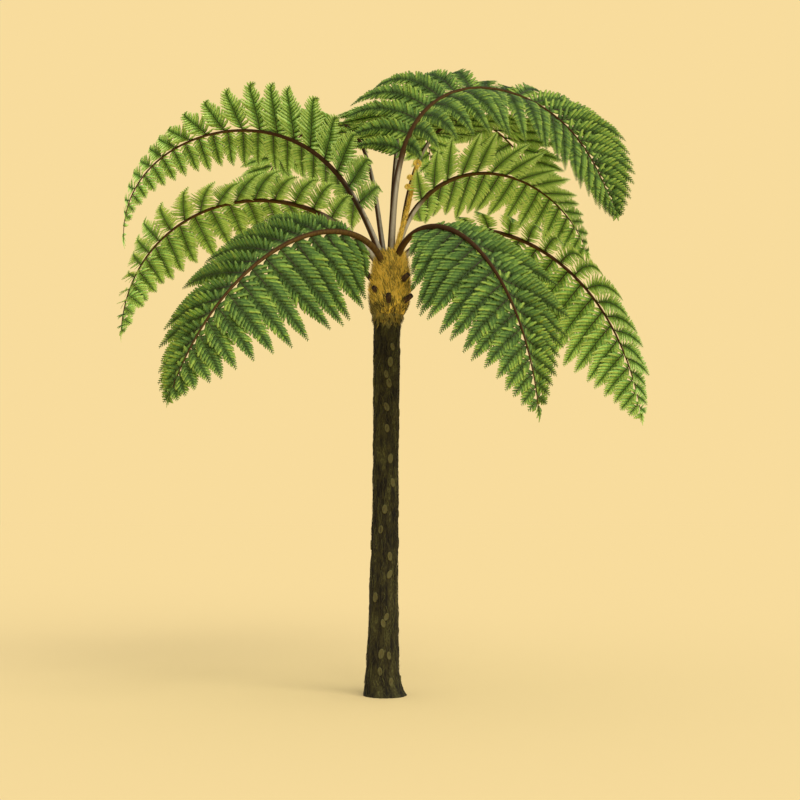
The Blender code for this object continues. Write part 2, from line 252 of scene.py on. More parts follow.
CROZIER = Frond("crozier", (0.062, -0.02, 3.46), 0.78, 1.0, 0.02,
                (0, 0, 0), (74, 75, 77, 78), 1.0,
                (0, 0, 0), (90, 90, 90, 90), (0, 0, 0, 0),
                (0, 0), 0.1, "crozier")
SIDE_COILS = 2                    # young side leaves rolled up along the crozier

TIP_RADIUS = 0.002                # added to every rib so that its tip keeps some body
RIB_FALL = 1.15                   # how fast a rib thins out towards its tip
PINNA_PEAK = 0.30                 # where along the blade the side leaves are longest
MIDRIB_STEPS = 160
PINNA_STEPS = 24

# ---------------------------------------------------------------- side leaves
PINNA_PITCH = (0.165, 0.078)      # between them, at the base and at the tip of a blade
PITCH_POWER = 1.8                 # how late along the blade they draw together
BLADE_START = 0.012               # along the blade, of the first one on the left
ROW_STAGGER = 0.4                 # of the right row against the left one, in pitches
LAST_PINNA = 0.965                # along the blade
SHORTEST_PINNA = 0.045
SIMPLE_PINNA = 0.09               # shorter side leaves are one lobed leaflet
SEATS = {"blade_dark": -0.6, "blade_light": 0.5}   # above the midrib's centre, in its radii
SPREAD_JITTER = 1.6               # degrees, as the next two are
RAISED_JITTER = 2.0
LOUVRE_JITTER = 3.0
SWAY_JITTER = 0.06                # bend of a side leaf within its blade
BEND_POWER = 1.3                  # of droop and hook along a side leaf
BOW_POWER = 1.5
HOOK_START = 0.78                 # along a side leaf, where its tip starts to curl
LOUVRE_SPAN = (-0.02, 0.26)       # along a side leaf, where its turn sets in

# ---------------------------------------------------------------- leaflets
LEAFLET_PITCH = 0.0370            # between the longest leaflets along a side leaf
LEAFLET_LENGTH = 0.152            # of the longest, on a side leaf of LEAFLET_REFERENCE
LEAFLET_REFERENCE = 0.80
LENGTH_POWER = 0.45               # how the longest leaflet grows with its side leaf
LEAFLET_ANGLES = (62.0, 36.0)     # from the side leaf's rib, at a leaflet's base and at its tip
FOOT_ANGLE = 96.0                 # of the lowest leaflets, which reach back along the midrib
FOOT_ROOM = 9.0                   # degrees kept between the lowest leaflets and the midrib
LEAFLET_THICKNESS = 0.0016
# a leaflet's width at places along it, then how far its lobes stand out and their notches draw in
LEAFLET_OUTLINE = ((0.0, 0.30, 0.55, 0.80, 1.0), (1.0, 1.04, 0.86, 0.54, 0.0))
LOBE_WIDTH = 1.08
NOTCH_WIDTH = 0.86
LOBE_LEAD = 0.035                 # of a lobe's point towards the tip, in leaflet lengths
NOTCH_LEAD = -0.01
FINE_LEAFLET = 0.075              # where the longest is longer, leaflets have a third lobe
BARE_FOOT = 0.008                 # of a side leaf's rib, before its first leaflet
SHOULDERS = {"blade_dark": 0.92, "blade_light": 0.55}       # lowest leaflet against the longest
LEAFLET_FILLS = {"blade_dark": 1.14, "blade_light": 1.0}    # width of a leaflet against the pitch


def unit(vectors):
    return vectors / np.linalg.norm(vectors, axis=-1, keepdims=True)


def blend(values, t):
    """Smooth run through a few control values (a Bezier curve of one number)."""
    layers = [np.asarray(value, float) + 0.0 * t for value in values]
    while len(layers) > 1:
        layers = [a + (b - a) * t for a, b in zip(layers, layers[1:])]
    return layers[0]


def smoothstep(low, high, value):
    f = np.clip((value - low) / (high - low), 0.0, 1.0)
    return f * f * (3 - 2 * f)


def pinna_part(u, at_base, power):
    """Length of a side leaf as a part of the longest one."""
    rise = math.sin(min(u / PINNA_PEAK, 1.0) * math.pi / 2)
    fall = 1.0 - max((u - PINNA_PEAK) / (1.0 - PINNA_PEAK), 0.0) ** power
    return (at_base + (1.0 - at_base) * rise) * fall


class Midrib:
    """The traced curve of a frond's rib, with the blade's directions along it."""

    def __init__(self, frond):
        t = np.linspace(0.0, 1.0, MIDRIB_STEPS + 1)
        lean = np.radians(blend(frond.lean, np.maximum(t, TINY) ** frond.bend))
        heading = np.radians(blend(frond.heading, t))
        twist = np.radians(blend(frond.twist, t))
        forward = np.stack((np.cos(lean) * np.cos(heading),
                            np.cos(lean) * np.sin(heading),
                            np.sin(lean)), axis=-1)
        level = np.stack((-np.sin(heading), np.cos(heading), 0.0 * heading), axis=-1)
        top = np.cross(forward, level)
        steps = unit(forward[1:] + forward[:-1]) * frond.length / MIDRIB_STEPS
        self.t = t
        self.points = np.vstack((np.zeros(3), np.cumsum(steps, axis=0))) + np.array(frond.foot)
        self.forward = forward
        self.left = np.cos(twist)[:, None] * level + np.sin(twist)[:, None] * top
        self.top = np.cos(twist)[:, None] * top - np.sin(twist)[:, None] * level
        self.frond = frond

    def read(self, field, t):
        return np.stack([np.interp(t, self.t, field[:, axis]) for axis in range(3)], axis=-1)

    def point(self, t):
        return self.read(self.points, t)

    def direction(self, field, t):
        return unit(self.read(field, t))

    def radius(self, t):
        return self.frond.radius * (1.0 - t) ** RIB_FALL + TIP_RADIUS

    def along_blade(self, u):
        return self.frond.stipe + (1.0 - self.frond.stipe) * u


class Pinna:
    """One side leaf: its curve with tangent, across (towards the frond's tip) and up directions."""

    def __init__(self, midrib, u, side, rng):
        frond = midrib.frond
        row = 0 if side > 0 else 1
        t = midrib.along_blade(u)
        forward, top, left = (midrib.direction(field, t)
                              for field in (midrib.forward, midrib.top, midrib.left))
        swing, lift, bow, louvre = (np.interp(u, ROW_PLACES, table[row]) for table in
                                    (frond.swing, frond.lift, frond.bow, frond.louvre))
        at_base, at_tip = frond.spread[2 * row:2 * row + 2]
        eased = u * u * (3.0 - 2.0 * u)
        spread = at_base + (at_tip - at_base) * eased + swing + rng.normal(0.0, SPREAD_JITTER)
        spread = math.radians(spread)
        at_base, at_tip = frond.raised[2 * row:2 * row + 2]
        raised = at_base + (at_tip - at_base) * u + lift + rng.normal(0.0, RAISED_JITTER)
        raised = math.radians(raised)
        outward = side * left * math.cos(raised) + top * math.sin(raised)
        start = math.cos(spread) * forward + math.sin(spread) * outward
        part = pinna_part(u, *frond.fullness)
        self.length = max(frond.pinna * part * rng.uniform(0.95, 1.0), SHORTEST_PINNA)
        v = np.linspace(0.0, 1.0, PINNA_STEPS + 1)[:, None]
        hang = frond.droop[row] * (0.35 + 0.65 * part) * rng.uniform(0.92, 1.08)
        hook = frond.hook[row] * rng.uniform(0.5, 1.5)
        curl = hook * smoothstep(HOOK_START, 1.0, v) ** BEND_POWER + bow * v ** BOW_POWER
        sway = rng.normal(0.0, SWAY_JITTER)
        way = unit(start - hang * v ** BEND_POWER * UP - curl * forward + sway * v ** 2 * forward)
        steps = unit(way[1:] + way[:-1]) * self.length / PINNA_STEPS
        seat = midrib.point(t) + top * (SEATS[frond.slot] * midrib.radius(t))
        self.v = v[:, 0]
        self.points = np.vstack((np.zeros(3), np.cumsum(steps, axis=0))) + seat
        self.tangent = way
        self.spread = math.degrees(spread)
        tilt = np.radians(louvre + rng.normal(0.0, LOUVRE_JITTER)) * smoothstep(*LOUVRE_SPAN, v)
        self.across, self.up = self.turned(forward, top, tilt)

    def turned(self, forward, top, tilt):
        """Directions across the side leaf and up from it, turned about its rib by tilt."""
        up = unit(np.cross(self.tangent, forward))
        up *= np.sign(np.sum(up * top, axis=-1, keepdims=True))
        across = np.cross(up, self.tangent)
        across *= np.sign(np.sum(across * forward, axis=-1, keepdims=True))
        return (unit(across * np.cos(tilt) + up * np.sin(tilt)),
                unit(up * np.cos(tilt) - across * np.sin(tilt)))

    def read(self, field, v):
        return np.stack([np.interp(v, self.v, field[:, axis]) for axis in range(3)], axis=-1)


# ---------------------------------------------------------------- mesh helpers
class FaceBatch:
    """Collects triangles with their material numbers, to join thousands of small shapes."""

    def __init__(self):
        self.points = []
        self.faces = []
        self.slots = []
        self.count = 0

    def add(self, shapes, faces, slots):
        """Takes shapes as (how many, points, 3); faces and slots are those of one shape."""
        many, size = shapes.shape[:2]
        starts = self.count + np.arange(many) * size
        self.points.append(shapes.reshape(-1, 3))
        self.faces.append((faces[None] + starts[:, None, None]).reshape(-1, 3))
        self.slots.append(np.broadcast_to(slots, (many, len(faces))).reshape(-1))
        self.count += many * size

    def add_each(self, shapes, slots, faces):
        """Takes shapes that have a material number each."""
        for slot in np.unique(slots):
            self.add(shapes[slots == slot], faces, np.full(len(faces), slot))

    def build(self, name, materials):
        points = np.concatenate(self.points)
        faces = np.concatenate(self.faces)
        mesh = bpy.data.meshes.new(name)
        mesh.vertices.add(len(points))
        mesh.vertices.foreach_set("co", points.astype(np.float32).ravel())
        mesh.loops.add(faces.size)
        mesh.loops.foreach_set("vertex_index", faces.astype(np.int32).ravel())
        mesh.polygons.add(len(faces))
        mesh.polygons.foreach_set("loop_start", np.arange(0, faces.size, 3, dtype=np.int32))
        mesh.polygons.foreach_set("material_index", np.concatenate(self.slots).astype(np.int32))
        for material in materials:
            mesh.materials.append(material)
        mesh.update(calc_edges=True)
        mesh.validate()
        return show(name, mesh)


def show(name, data):
    """Links a new object to the scene."""
    thing = bpy.data.objects.new(name, data)
    bpy.context.scene.collection.objects.link(thing)
    return thing


def finish_bmesh(name, bm, materials, sharp=40.0):
    """Turns a bmesh into a smooth-shaded object."""
    mesh = bpy.data.meshes.new(name)
    bmesh.ops.recalc_face_normals(bm, faces=bm.faces)
    bm.to_mesh(mesh)
    bm.free()
    for material in materials:
        mesh.materials.append(material)
    mesh.shade_smooth()
    mesh.set_sharp_from_angle(angle=math.radians(sharp))
    return show(name, mesh)


def place_on_plant(piece, slot, *nodes):
    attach(piece, "root")
    if nodes:
        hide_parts(*nodes)


def facing(forward, across):
    """Rotation whose Z runs along forward and whose X is nearest to across."""
    z = Vector(forward).normalized()
    y = z.cross(Vector(across)).normalized()
    x = y.cross(z)
    return Matrix((x, y, z)).transposed()


def sweep(bm, path, radii, sides, across=(0.0, 1.0, 0.0)):
    """A closed round tube through path, extruded ring by ring."""
    tangents = unit(np.gradient(path, axis=0))
    turn = facing(tangents[0], across)
    place = Matrix.Translation(path[0]) @ turn.to_4x4()
    ring = bmesh.ops.create_circle(bm, cap_ends=True, segments=sides, radius=radii[0],
                                   matrix=place)["verts"]
    edges = list({edge for vertex in ring for edge in vertex.link_edges
                  if edge.other_vert(vertex) in ring})
    for i in range(1, len(path)):
        grown = bmesh.ops.extrude_edge_only(bm, edges=edges)["geom"]
        ring = [item for item in grown if isinstance(item, bmesh.types.BMVert)]
        edges = [item for item in grown if isinstance(item, bmesh.types.BMEdge)]
        new_turn = facing(tangents[i], turn.col[0])
        moved = (Matrix.Translation(path[i]) @ new_turn.to_4x4()
                 @ Matrix.Scale(radii[i] / radii[i - 1], 4)
                 @ turn.to_4x4().inverted() @ Matrix.Translation(-Vector(path[i - 1])))
        bmesh.ops.transform(bm, matrix=moved, verts=ring)
        turn = new_turn
    bmesh.ops.contextual_create(bm, geom=edges)


# ---------------------------------------------------------------- materials
def new_material(name, roughness, specular=0.3):
    material = bpy.data.materials.new(name)
    material.use_nodes = True
    shader = material.node_tree.nodes["Principled BSDF"]
    shader.inputs["Roughness"].default_value = roughness
    shader.inputs["Specular IOR Level"].default_value = specular
    return material, shader


def plain(name, colour, roughness=0.6, specular=0.3):
    material, shader = new_material(name, roughness, specular)
    shader.inputs["Base Color"].default_value = (*colour, 1.0)
    return material


def mottle_group():
    """Two colours and a height, mixed by stretched noise in Object coordinates."""
    group = bpy.data.node_groups.new("mottle", "ShaderNodeTree")
    new_socket = group.interface.new_socket
    for name in ("Low", "High"):
        new_socket(name, in_out="INPUT", socket_type="NodeSocketColor")
    for name, value in (("Fineness", 60.0), ("Stretch", 0.3), ("Balance", 0.5), ("Softness", 0.15)):
        new_socket(name, in_out="INPUT", socket_type="NodeSocketFloat").default_value = value
    new_socket("Color", in_out="OUTPUT", socket_type="NodeSocketColor")
    new_socket("Height", in_out="OUTPUT", socket_type="NodeSocketFloat")
    given, made, place, scale, stretched, grain, low_edge, high_edge, span, colour = (
        group.nodes.new(kind) for kind in (
            "NodeGroupInput", "NodeGroupOutput", "ShaderNodeTexCoord", "ShaderNodeCombineXYZ",
            "ShaderNodeVectorMath", "ShaderNodeTexNoise", "ShaderNodeMath", "ShaderNodeMath",
            "ShaderNodeMapRange", "ShaderNodeMix"))
    scale.inputs["X"].default_value = 1.0
    scale.inputs["Y"].default_value = 1.0
    grain.inputs["Detail"].default_value = 5.0
    grain.inputs["Roughness"].default_value = 0.62
    stretched.operation = "MULTIPLY"
    low_edge.operation = "SUBTRACT"
    high_edge.operation = "ADD"
    span.interpolation_type = "SMOOTHSTEP"
    colour.data_type = "RGBA"
    for source, output, target, given_to in (
            (given, "Stretch", scale, "Z"),
            (place, "Object", stretched, 0),
            (scale, "Vector", stretched, 1),
            (stretched, "Vector", grain, "Vector"),
            (given, "Fineness", grain, "Scale"),
            (given, "Balance", low_edge, 0),
            (given, "Softness", low_edge, 1),
            (given, "Balance", high_edge, 0),
            (given, "Softness", high_edge, 1),
            (grain, "Fac", span, "Value"),
            (low_edge, "Value", span, "From Min"),
            (high_edge, "Value", span, "From Max"),
            (span, "Result", colour, "Factor"),
            (given, "Low", colour, "A"),
            (given, "High", colour, "B"),
            (colour, "Result", made, "Color"),
            (grain, "Fac", made, "Height")):
        group.links.new(source.outputs[output], target.inputs[given_to])
    return group


MOTTLE = mottle_group()


def mottled_node(material, low, high, fineness, stretch, balance=0.5, softness=0.15):
    node = material.node_tree.nodes.new("ShaderNodeGroup")
    node.node_tree = MOTTLE
    for name, value in (("Low", (*low, 1.0)), ("High", (*high, 1.0)), ("Fineness", fineness),
                        ("Stretch", stretch), ("Balance", balance), ("Softness", softness)):
        node.inputs[name].default_value = value
    return node


def add_bump(material, shader, height, strength, distance):
    bump = material.node_tree.nodes.new("ShaderNodeBump")
    bump.inputs["Strength"].default_value = strength
    bump.inputs["Distance"].default_value = distance
    material.node_tree.links.new(height, bump.inputs["Height"])
    material.node_tree.links.new(bump.outputs["Normal"], shader.inputs["Normal"])


def mix_by_attribute(material, name, at_zero, at_one):
    """A colour that runs from one output to the other with a mesh attribute."""
    nodes, link = material.node_tree.nodes, material.node_tree.links.new
    attribute = nodes.new("ShaderNodeAttribute")
    attribute.attribute_name = name
    mix = nodes.new("ShaderNodeMix")
    mix.data_type = "RGBA"
    link(attribute.outputs["Fac"], mix.inputs["Factor"])
    link(at_zero, mix.inputs["A"])
    link(at_one, mix.inputs["B"])
    return mix.outputs["Result"]


def mottled(name, low, high, fineness, stretch, roughness, bump=0.4, distance=0.003, **more):
    material, shader = new_material(name, roughness)
    node = mottled_node(material, low, high, fineness, stretch, **more)
    material.node_tree.links.new(node.outputs["Color"], shader.inputs["Base Color"])
    add_bump(material, shader, node.outputs["Height"], bump, distance)
    return material


def bark_material():
    """Nearly black fibres, olive in mossy patches and, as painted light, more olive towards the
    sun's side (an attribute stored by build_trunk).
    """
    material, shader = new_material("bark", 0.85, 0.2)
    dark = mottled_node(material, BARK_DARK, BARK_OLIVE, fineness=55.0, stretch=0.25,
                        balance=0.52, softness=0.12)
    mossy = mottled_node(material, BARK_OLIVE, ROOTLET_MOSS, fineness=75.0, stretch=0.5,
                         balance=0.55, softness=0.1)
    colour = mix_by_attribute(material, "moss", dark.outputs["Color"], mossy.outputs["Color"])
    material.node_tree.links.new(colour, shader.inputs["Base Color"])
    add_bump(material, shader, dark.outputs["Height"], strength=0.5, distance=0.004)
    return material


def stalk_material():
    """Pale stalk, dark brown where the brown attribute is 1 (its own colour beyond browns_at,
    painted shade on its shaded side), and there golden where the gold attribute is 1 (painted light
    on its lit side).
    """
    material, shader = new_material("stalk", 0.65, 0.05)
    pale = mottled_node(material, STALK_PALE, STALK_OLIVE, fineness=30.0, stretch=0.2,
                        balance=0.62, softness=0.25)
    brown = mottled_node(material, STALK_BROWN, STALK_RUSSET, fineness=60.0, stretch=0.2,
                         balance=0.6, softness=0.2)
    golden = mottled_node(material, STALK_RUSSET, STALK_LIT_GOLD, fineness=60.0, stretch=0.2,
                          balance=0.45, softness=0.2)
    dark = mix_by_attribute(material, "gold", brown.outputs["Color"], golden.outputs["Color"])
    colour = mix_by_attribute(material, "brown", pale.outputs["Color"], dark)
    material.node_tree.links.new(colour, shader.inputs["Base Color"])
    add_bump(material, shader, pale.outputs["Height"], strength=0.15, distance=0.001)
    return material


def store(mesh, name, values):
    attribute = mesh.attributes.new(name, "FLOAT", "POINT")
    attribute.data.foreach_set("value", np.asarray(values, np.float32))


# ---------------------------------------------------------------- turned bodies
def turned_body(rings, sides, ring_step):
    """A closed body of revolution about Z, on a smooth curve through the rings."""
    heights = np.append(np.arange(rings[0, 0], rings[-1, 0], ring_step), rings[-1, 0])
    bm = bmesh.new()
    reaches = [0.0, *(ring_at(rings, height)[0] for height in heights), 0.0]
    heights = [heights[0], *heights, heights[-1]]
    profile = [bm.verts.new((reach, 0.0, height)) for reach, height in zip(reaches, heights)]
    edges = [bm.edges.new(pair) for pair in zip(profile, profile[1:])]
    bmesh.ops.spin(bm, geom=profile + edges, cent=(0, 0, 0), axis=(0, 0, 1),
                   angle=math.tau, steps=sides, use_merge=True)
    bmesh.ops.remove_doubles(bm, verts=bm.verts, dist=MERGE)
    return bm


def noise_round(bearing, around, rise):
    """Noise that closes up round an axis: around is how fine it is, and rise where along it."""
    return noise.noise(Vector((math.cos(bearing) * around, math.sin(bearing) * around, rise)))


# ---------------------------------------------------------------- trunk
TRUNK_SIDES = 132
TRUNK_RING_STEP = 0.0062
LUMP_SIZE = 0.075
LUMP_DEPTH = 0.006
LUMP_STRETCH = 0.55               # below 1 it draws the lumps out along the trunk
FIBRE_WIDTH = 0.011
FIBRE_DEPTH = 0.0035
FIBRE_STRETCH = 0.22              # as LUMP_STRETCH does
GRAIN_DEPTH = 0.0018
PATTERN_RADIUS = 0.1              # of the trunk, for the fibres' width round it
MOSS_FINENESS = (2.2, 4.5)        # of its patches round the trunk and along it
# the side that the sun lights; the mantle is painted more olive towards it, as painted light
LIT_SIDE = math.radians(-35.0)

# bearing in degrees (-90 is the front) and height of the leaf scars that face the front view
FRONT_SCARS = (
    (-83, 2.93), (-64, 2.75), (-73, 2.63), (-90, 2.53), (-78, 2.46), (-88, 2.27),
    (-85, 2.10), (-68, 1.86), (-56, 1.67), (-92, 1.46), (-108, 1.30), (-66, 1.09),
    (-66, 0.95), (-124, 0.77), (-78, 0.62), (-90, 0.57), (-96, 0.335), (-68, 0.32),
    (-98, 0.20), (-62, 0.12),
)
FRONT_BEARINGS = (190.0, 350.0)   # degrees, where only the listed scars stand
SCAR_SIZE = (0.021, 0.038)        # half width and half height of a leaf scar
SCAR_TURN = 137.5                 # degrees between successive scars around the hidden sides
SCAR_RISE = 0.062
SCAR_HEIGHTS = (0.12, 2.8)        # of the lowest one, and the run of the spiral above it
SCAR_SKIRT = 0.005                # how far a scar stands off the trunk
# inset of each step from a scar's edge to its pit, in scar radii, and its rise
SCAR_STEPS = ((0.10, 0.0030), (0.10, 0.0010), (0.14, -0.0020), (0.30, -0.001))


def trunk_relief(bearing, height):
    """How far the fibrous mantle stands out at a bearing and height."""
    around = Vector((math.cos(bearing), math.sin(bearing), 0.0))
    lump = noise.noise(Vector((around.x * 1.6, around.y * 1.6, height / LUMP_SIZE * LUMP_STRETCH)))
    strand = noise.noise(Vector((around.x * PATTERN_RADIUS / FIBRE_WIDTH,
                                 around.y * PATTERN_RADIUS / FIBRE_WIDTH,
                                 height / FIBRE_WIDTH * FIBRE_STRETCH)))
    grain = noise.noise(Vector((around.x * 22, around.y * 22, height * 60)))
    return LUMP_DEPTH * lump + FIBRE_DEPTH * (1 - abs(strand) * 2.2) + GRAIN_DEPTH * grain


def moss_and_light_at(bearing, height):
    """From 0 to 1: mossy patches, plus a rise towards LIT_SIDE, the sun's side, that is painted
    light.
    """
    around, along = MOSS_FINENESS
    patch = noise_round(bearing, around, height * along)
    # painted light: more olive towards the sun's side
    towards = 0.5 + 0.5 * math.cos(bearing - LIT_SIDE)
    return min(max(patch * 1.6 + 0.45 * towards - 0.1, 0.0), 1.0)


def scar_places():
    """Bearing and height of all leaf scars: the front ones, then a spiral round the rest."""
    places = [(math.radians(bearing), height) for bearing, height in FRONT_SCARS]
    lowest, run = SCAR_HEIGHTS
    for step in range(int(run / SCAR_RISE)):
        bearing = (step * SCAR_TURN) % 360.0
        if not FRONT_BEARINGS[0] < bearing < FRONT_BEARINGS[1]:
            places.append((math.radians(bearing), lowest + step * SCAR_RISE))
    return places


def build_trunk():
    bm = turned_body(TRUNK_RINGS, TRUNK_SIDES, TRUNK_RING_STEP)
    moss = []
    for vertex in bm.verts:
        x, y, height = vertex.co
        bearing = math.atan2(y, x)
        if math.hypot(x, y) > AXIS_REACH:
            stand = trunk_relief(bearing, height)
            vertex.co.x += math.cos(bearing) * stand
            vertex.co.y += math.sin(bearing) * stand
        vertex.co.x += ring_at(TRUNK_RINGS, height)[1]
        moss.append(moss_and_light_at(bearing, height))
    trunk = finish_bmesh("trunk_mantle", bm, [bark_material()], sharp=180.0)
    store(trunk.data, "moss", moss)
    place_on_plant(trunk, "trunk", "trunk")


def build_scars():
    """Low oval plaques with a raised rim and a dished middle."""
    rng = np.random.default_rng(SEED)
    bm = bmesh.new()
    for bearing, height in scar_places():
        point, outward = on_body(bearing, *ring_at(TRUNK_RINGS, height), height)
        turn = facing(outward, (-math.sin(bearing), math.cos(bearing), 0.0))
        lean = Matrix.Rotation(rng.normal(0.0, 0.22), 3, "Z")
        wide, tall = np.array(SCAR_SIZE) * rng.uniform(0.82, 1.12)
        place = Matrix.Translation(point) @ (turn @ lean).to_4x4()
        rim = bmesh.ops.create_circle(bm, cap_ends=True, segments=18, radius=1.0)["verts"]
        raised = bmesh.ops.extrude_face_region(bm, geom=[rim[0].link_faces[0]])["geom"]
        cap = [item for item in raised if isinstance(item, bmesh.types.BMVert)]
        pit = next(item for item in raised if isinstance(item, bmesh.types.BMFace))
        bmesh.ops.translate(bm, verts=cap, vec=(0, 0, SCAR_SKIRT))
        plaque = {*rim, *cap}
        for inset, rise in SCAR_STEPS:
            bmesh.ops.inset_individual(bm, faces=[pit], thickness=inset, use_even_offset=True)
            bmesh.ops.translate(bm, verts=list(pit.verts), vec=(0, 0, rise))
            plaque |= set(pit.verts)
        pit.material_index = 1
        place = place @ Matrix.Diagonal((wide, tall, 1.0, 1.0))
        bmesh.ops.transform(bm, matrix=place, verts=list(plaque))
    skin = mottled("scar_skin", SCAR_OLIVE, ROOTLET_MOSS, 90.0, 0.6, 0.75,
                   bump=0.25, distance=0.001)
    dark = mottled("scar_pit", SCAR_OLIVE, BARK_OLIVE, 200.0, 1.0, 0.8, balance=0.6)
    piece = finish_bmesh("leaf_scars", bm, [skin, dark], sharp=60.0)
    place_on_plant(piece, "trunk")


# ---------------------------------------------------------------- small tubes from arrays
def tube_points(path, radii, sides):
    """Rings of a thin tube through path, and one point at each end."""
    tangents = unit(np.gradient(path, axis=0))
    across = unit(np.cross(tangents, unit(np.array((0.31, 0.27, 0.91)))))
    other = np.cross(tangents, across)
    angles = np.arange(sides) * math.tau / sides
    rings = (path[:, None] + radii[:, None, None]
             * (np.cos(angles)[None, :, None] * across[:, None]
                + np.sin(angles)[None, :, None] * other[:, None]))
    return np.vstack((rings.reshape(-1, 3), path[:1], path[-1:]))


def tube_faces(count, sides):
    """Triangles of tube_points with closed ends."""
    faces = []
    for i in range(count - 1):
        for k in range(sides):
            a, b = i * sides + k, i * sides + (k + 1) % sides
            faces += [(a, b, b + sides), (a, b + sides, a + sides)]
    foot, tip = count * sides, count * sides + 1
    last = (count - 1) * sides
    for k in range(sides):
        faces += [(foot, (k + 1) % sides, k), (tip, last + k, last + (k + 1) % sides)]
    return np.array(faces)


# ---------------------------------------------------------------- rootlets
ROOTLET_SIDES = 4
ROOTLET_POINTS = 9
ROOTLETS = (520, 260)             # brown ones and mossy ones
ROOTLET_FOOT = 0.006              # their lowest height


def build_rootlets():
    """Thin wiry roots that run down the mantle in waves."""
    rng = np.random.default_rng(SEED + 1)
    batch = FaceBatch()
    faces = tube_faces(ROOTLET_POINTS, ROOTLET_SIDES)
    along = np.linspace(0, 1, ROOTLET_POINTS)
    lift = 0.001 + 0.0035 * np.sin(np.linspace(0, math.pi, ROOTLET_POINTS))
    for slot, how_many in enumerate(ROOTLETS):
        for _ in range(how_many):
            top = rng.uniform(0.10, 2.95)
            length = rng.uniform(0.07, 0.20)
            bearing = rng.uniform(-math.pi, math.pi)
            heights = np.clip(top - np.linspace(0, length, ROOTLET_POINTS), ROOTLET_FOOT, None)
            swing = rng.uniform(0.02, 0.12)
            wave = np.linspace(0, rng.uniform(3, 8), ROOTLET_POINTS) + rng.uniform(0, 6)
            bearings = bearing + swing * np.sin(wave) + rng.normal(0, 0.08) * along
            path = []
            for angle, height, away in zip(bearings, heights, lift):
                radius, shift = ring_at(TRUNK_RINGS, height)
                reach = radius + trunk_relief(angle, height) + away
                path.append(on_body(angle, reach, shift, height)[0])
            radii = rng.uniform(0.0013, 0.0026) * np.linspace(1.0, 0.45, ROOTLET_POINTS)
            tube = tube_points(np.array(path), radii, ROOTLET_SIDES)
            batch.add(tube[None], faces, np.full(len(faces), slot))
    materials = [plain("rootlet_brown", ROOTLET_BROWN, 0.8),
                 plain("rootlet_moss", ROOTLET_MOSS, 0.85)]
    place_on_plant(batch.build("trunk_rootlets", materials), "trunk")


# ---------------------------------------------------------------- crown head
HEAD_SIDES = 96
HEAD_RING_STEP = 0.008
HEAD_LUMPS = 0.008
HEAD_FOOT, HEAD_TOP = HEAD_RINGS[0, 0], HEAD_RINGS[-1, 0]
SCALE_COUNT = 6500
SCALE_HEIGHTS = (HEAD_FOOT + 0.01, HEAD_TOP + 0.004)
SCALE_ROOT = 0.004                # how far a scale starts below its place
FLAT_TOP = 0.012                  # below HEAD_TOP, from where scales cover the flat top
DARKENING = (3.20, 3.02)          # heights between which the scales turn olive and dark
SKIRT_COUNT = 1500
SKIRT_TOP = 0.035                 # above the head's foot
SKIRT_DROP = 0.06                 # down from there, and how much that varies round the trunk
OLIVE, DEEP, BRIGHT, PALE, DARK = range(5)    # the order of scale_materials

# place along a scale and width there, against the widest
SCALE_OUTLINE = ((0.0, 0.55), (0.35, 1.0), (0.72, 0.62), (1.0, 0.0))
SCALE_FACES = np.array(((0, 1, 3), (0, 3, 2), (2, 3, 5), (2, 5, 4), (4, 5, 6)))


def head_reach(bearing, height):
    radius, shift = ring_at(HEAD_RINGS, height)
    return radius + HEAD_LUMPS * noise_round(bearing, 2.6, height * 14), shift


def build_head():
    bm = turned_body(HEAD_RINGS, HEAD_SIDES, HEAD_RING_STEP)
    for vertex in bm.verts:
        x, y, height = vertex.co
        bearing = math.atan2(y, x)
        reach, shift = head_reach(bearing, height)
        if math.hypot(x, y) > AXIS_REACH:
            vertex.co.x = reach * math.cos(bearing)
            vertex.co.y = reach * math.sin(bearing)
        vertex.co.x += shift
    felt = mottled("head_felt", GOLD_DEEP, GOLD, 45.0, 0.3, 0.9, bump=0.6, distance=0.006)
    head = finish_bmesh("head_core", bm, [felt], sharp=180.0)
    place_on_plant(head, "crown_head", "crown_head")


def scale_shapes(points, ways, across, lengths, widths, curls):
    """Narrow pointed scales, from foot to tip, that curl away from the surface by curls."""
    normals = np.cross(ways, across)
    rows = []
    for along, wide in SCALE_OUTLINE:
        ahead, away = (lengths * along)[:, None], (curls * along ** 2)[:, None]
        centre = points + ways * ahead + normals * away
        aside = across * (widths * wide / 2)[:, None]
        rows += [centre - aside, centre + aside] if wide else [centre]
    return np.stack(rows, axis=1)


def build_head_scales():
    """Papery golden scales that thatch the head, upwards and outwards."""
    rng = np.random.default_rng(SEED + 2)
    low, high = SCALE_HEIGHTS
    heights = low + (high - low) * rng.uniform(0, 1, SCALE_COUNT) ** 0.9
    bearings = rng.uniform(-math.pi, math.pi, SCALE_COUNT)
    feet = []
    for bearing, height in zip(bearings, heights):
        reach, shift = head_reach(bearing, min(height, HEAD_TOP))
        if height > HEAD_TOP - FLAT_TOP:
            reach *= math.sqrt(rng.uniform(0.0, 1.0))
        feet.append(on_body(bearing, reach, shift, height - SCALE_ROOT))
    points, outs = (np.array(rows) for rows in zip(*feet))
    aside = rng.normal(-0.25, 0.35, SCALE_COUNT)
    lift = rng.uniform(0.10, 0.48, SCALE_COUNT)
    ways = unit(UP + outs * lift[:, None] + np.cross(UP, outs) * aside[:, None])
    shapes = scale_shapes(points, ways, unit(np.cross(ways, outs)),
                          lengths=rng.uniform(0.028, 0.062, SCALE_COUNT),
                          widths=rng.uniform(0.0035, 0.0075, SCALE_COUNT),
                          curls=-rng.uniform(0.0, 0.012, SCALE_COUNT))
    batch = FaceBatch()
    batch.add_each(shapes, scale_tones(points, heights, rng), SCALE_FACES)
    add_skirt(batch, rng)
    place_on_plant(batch.build("head_scales", scale_materials()), "crown_head")


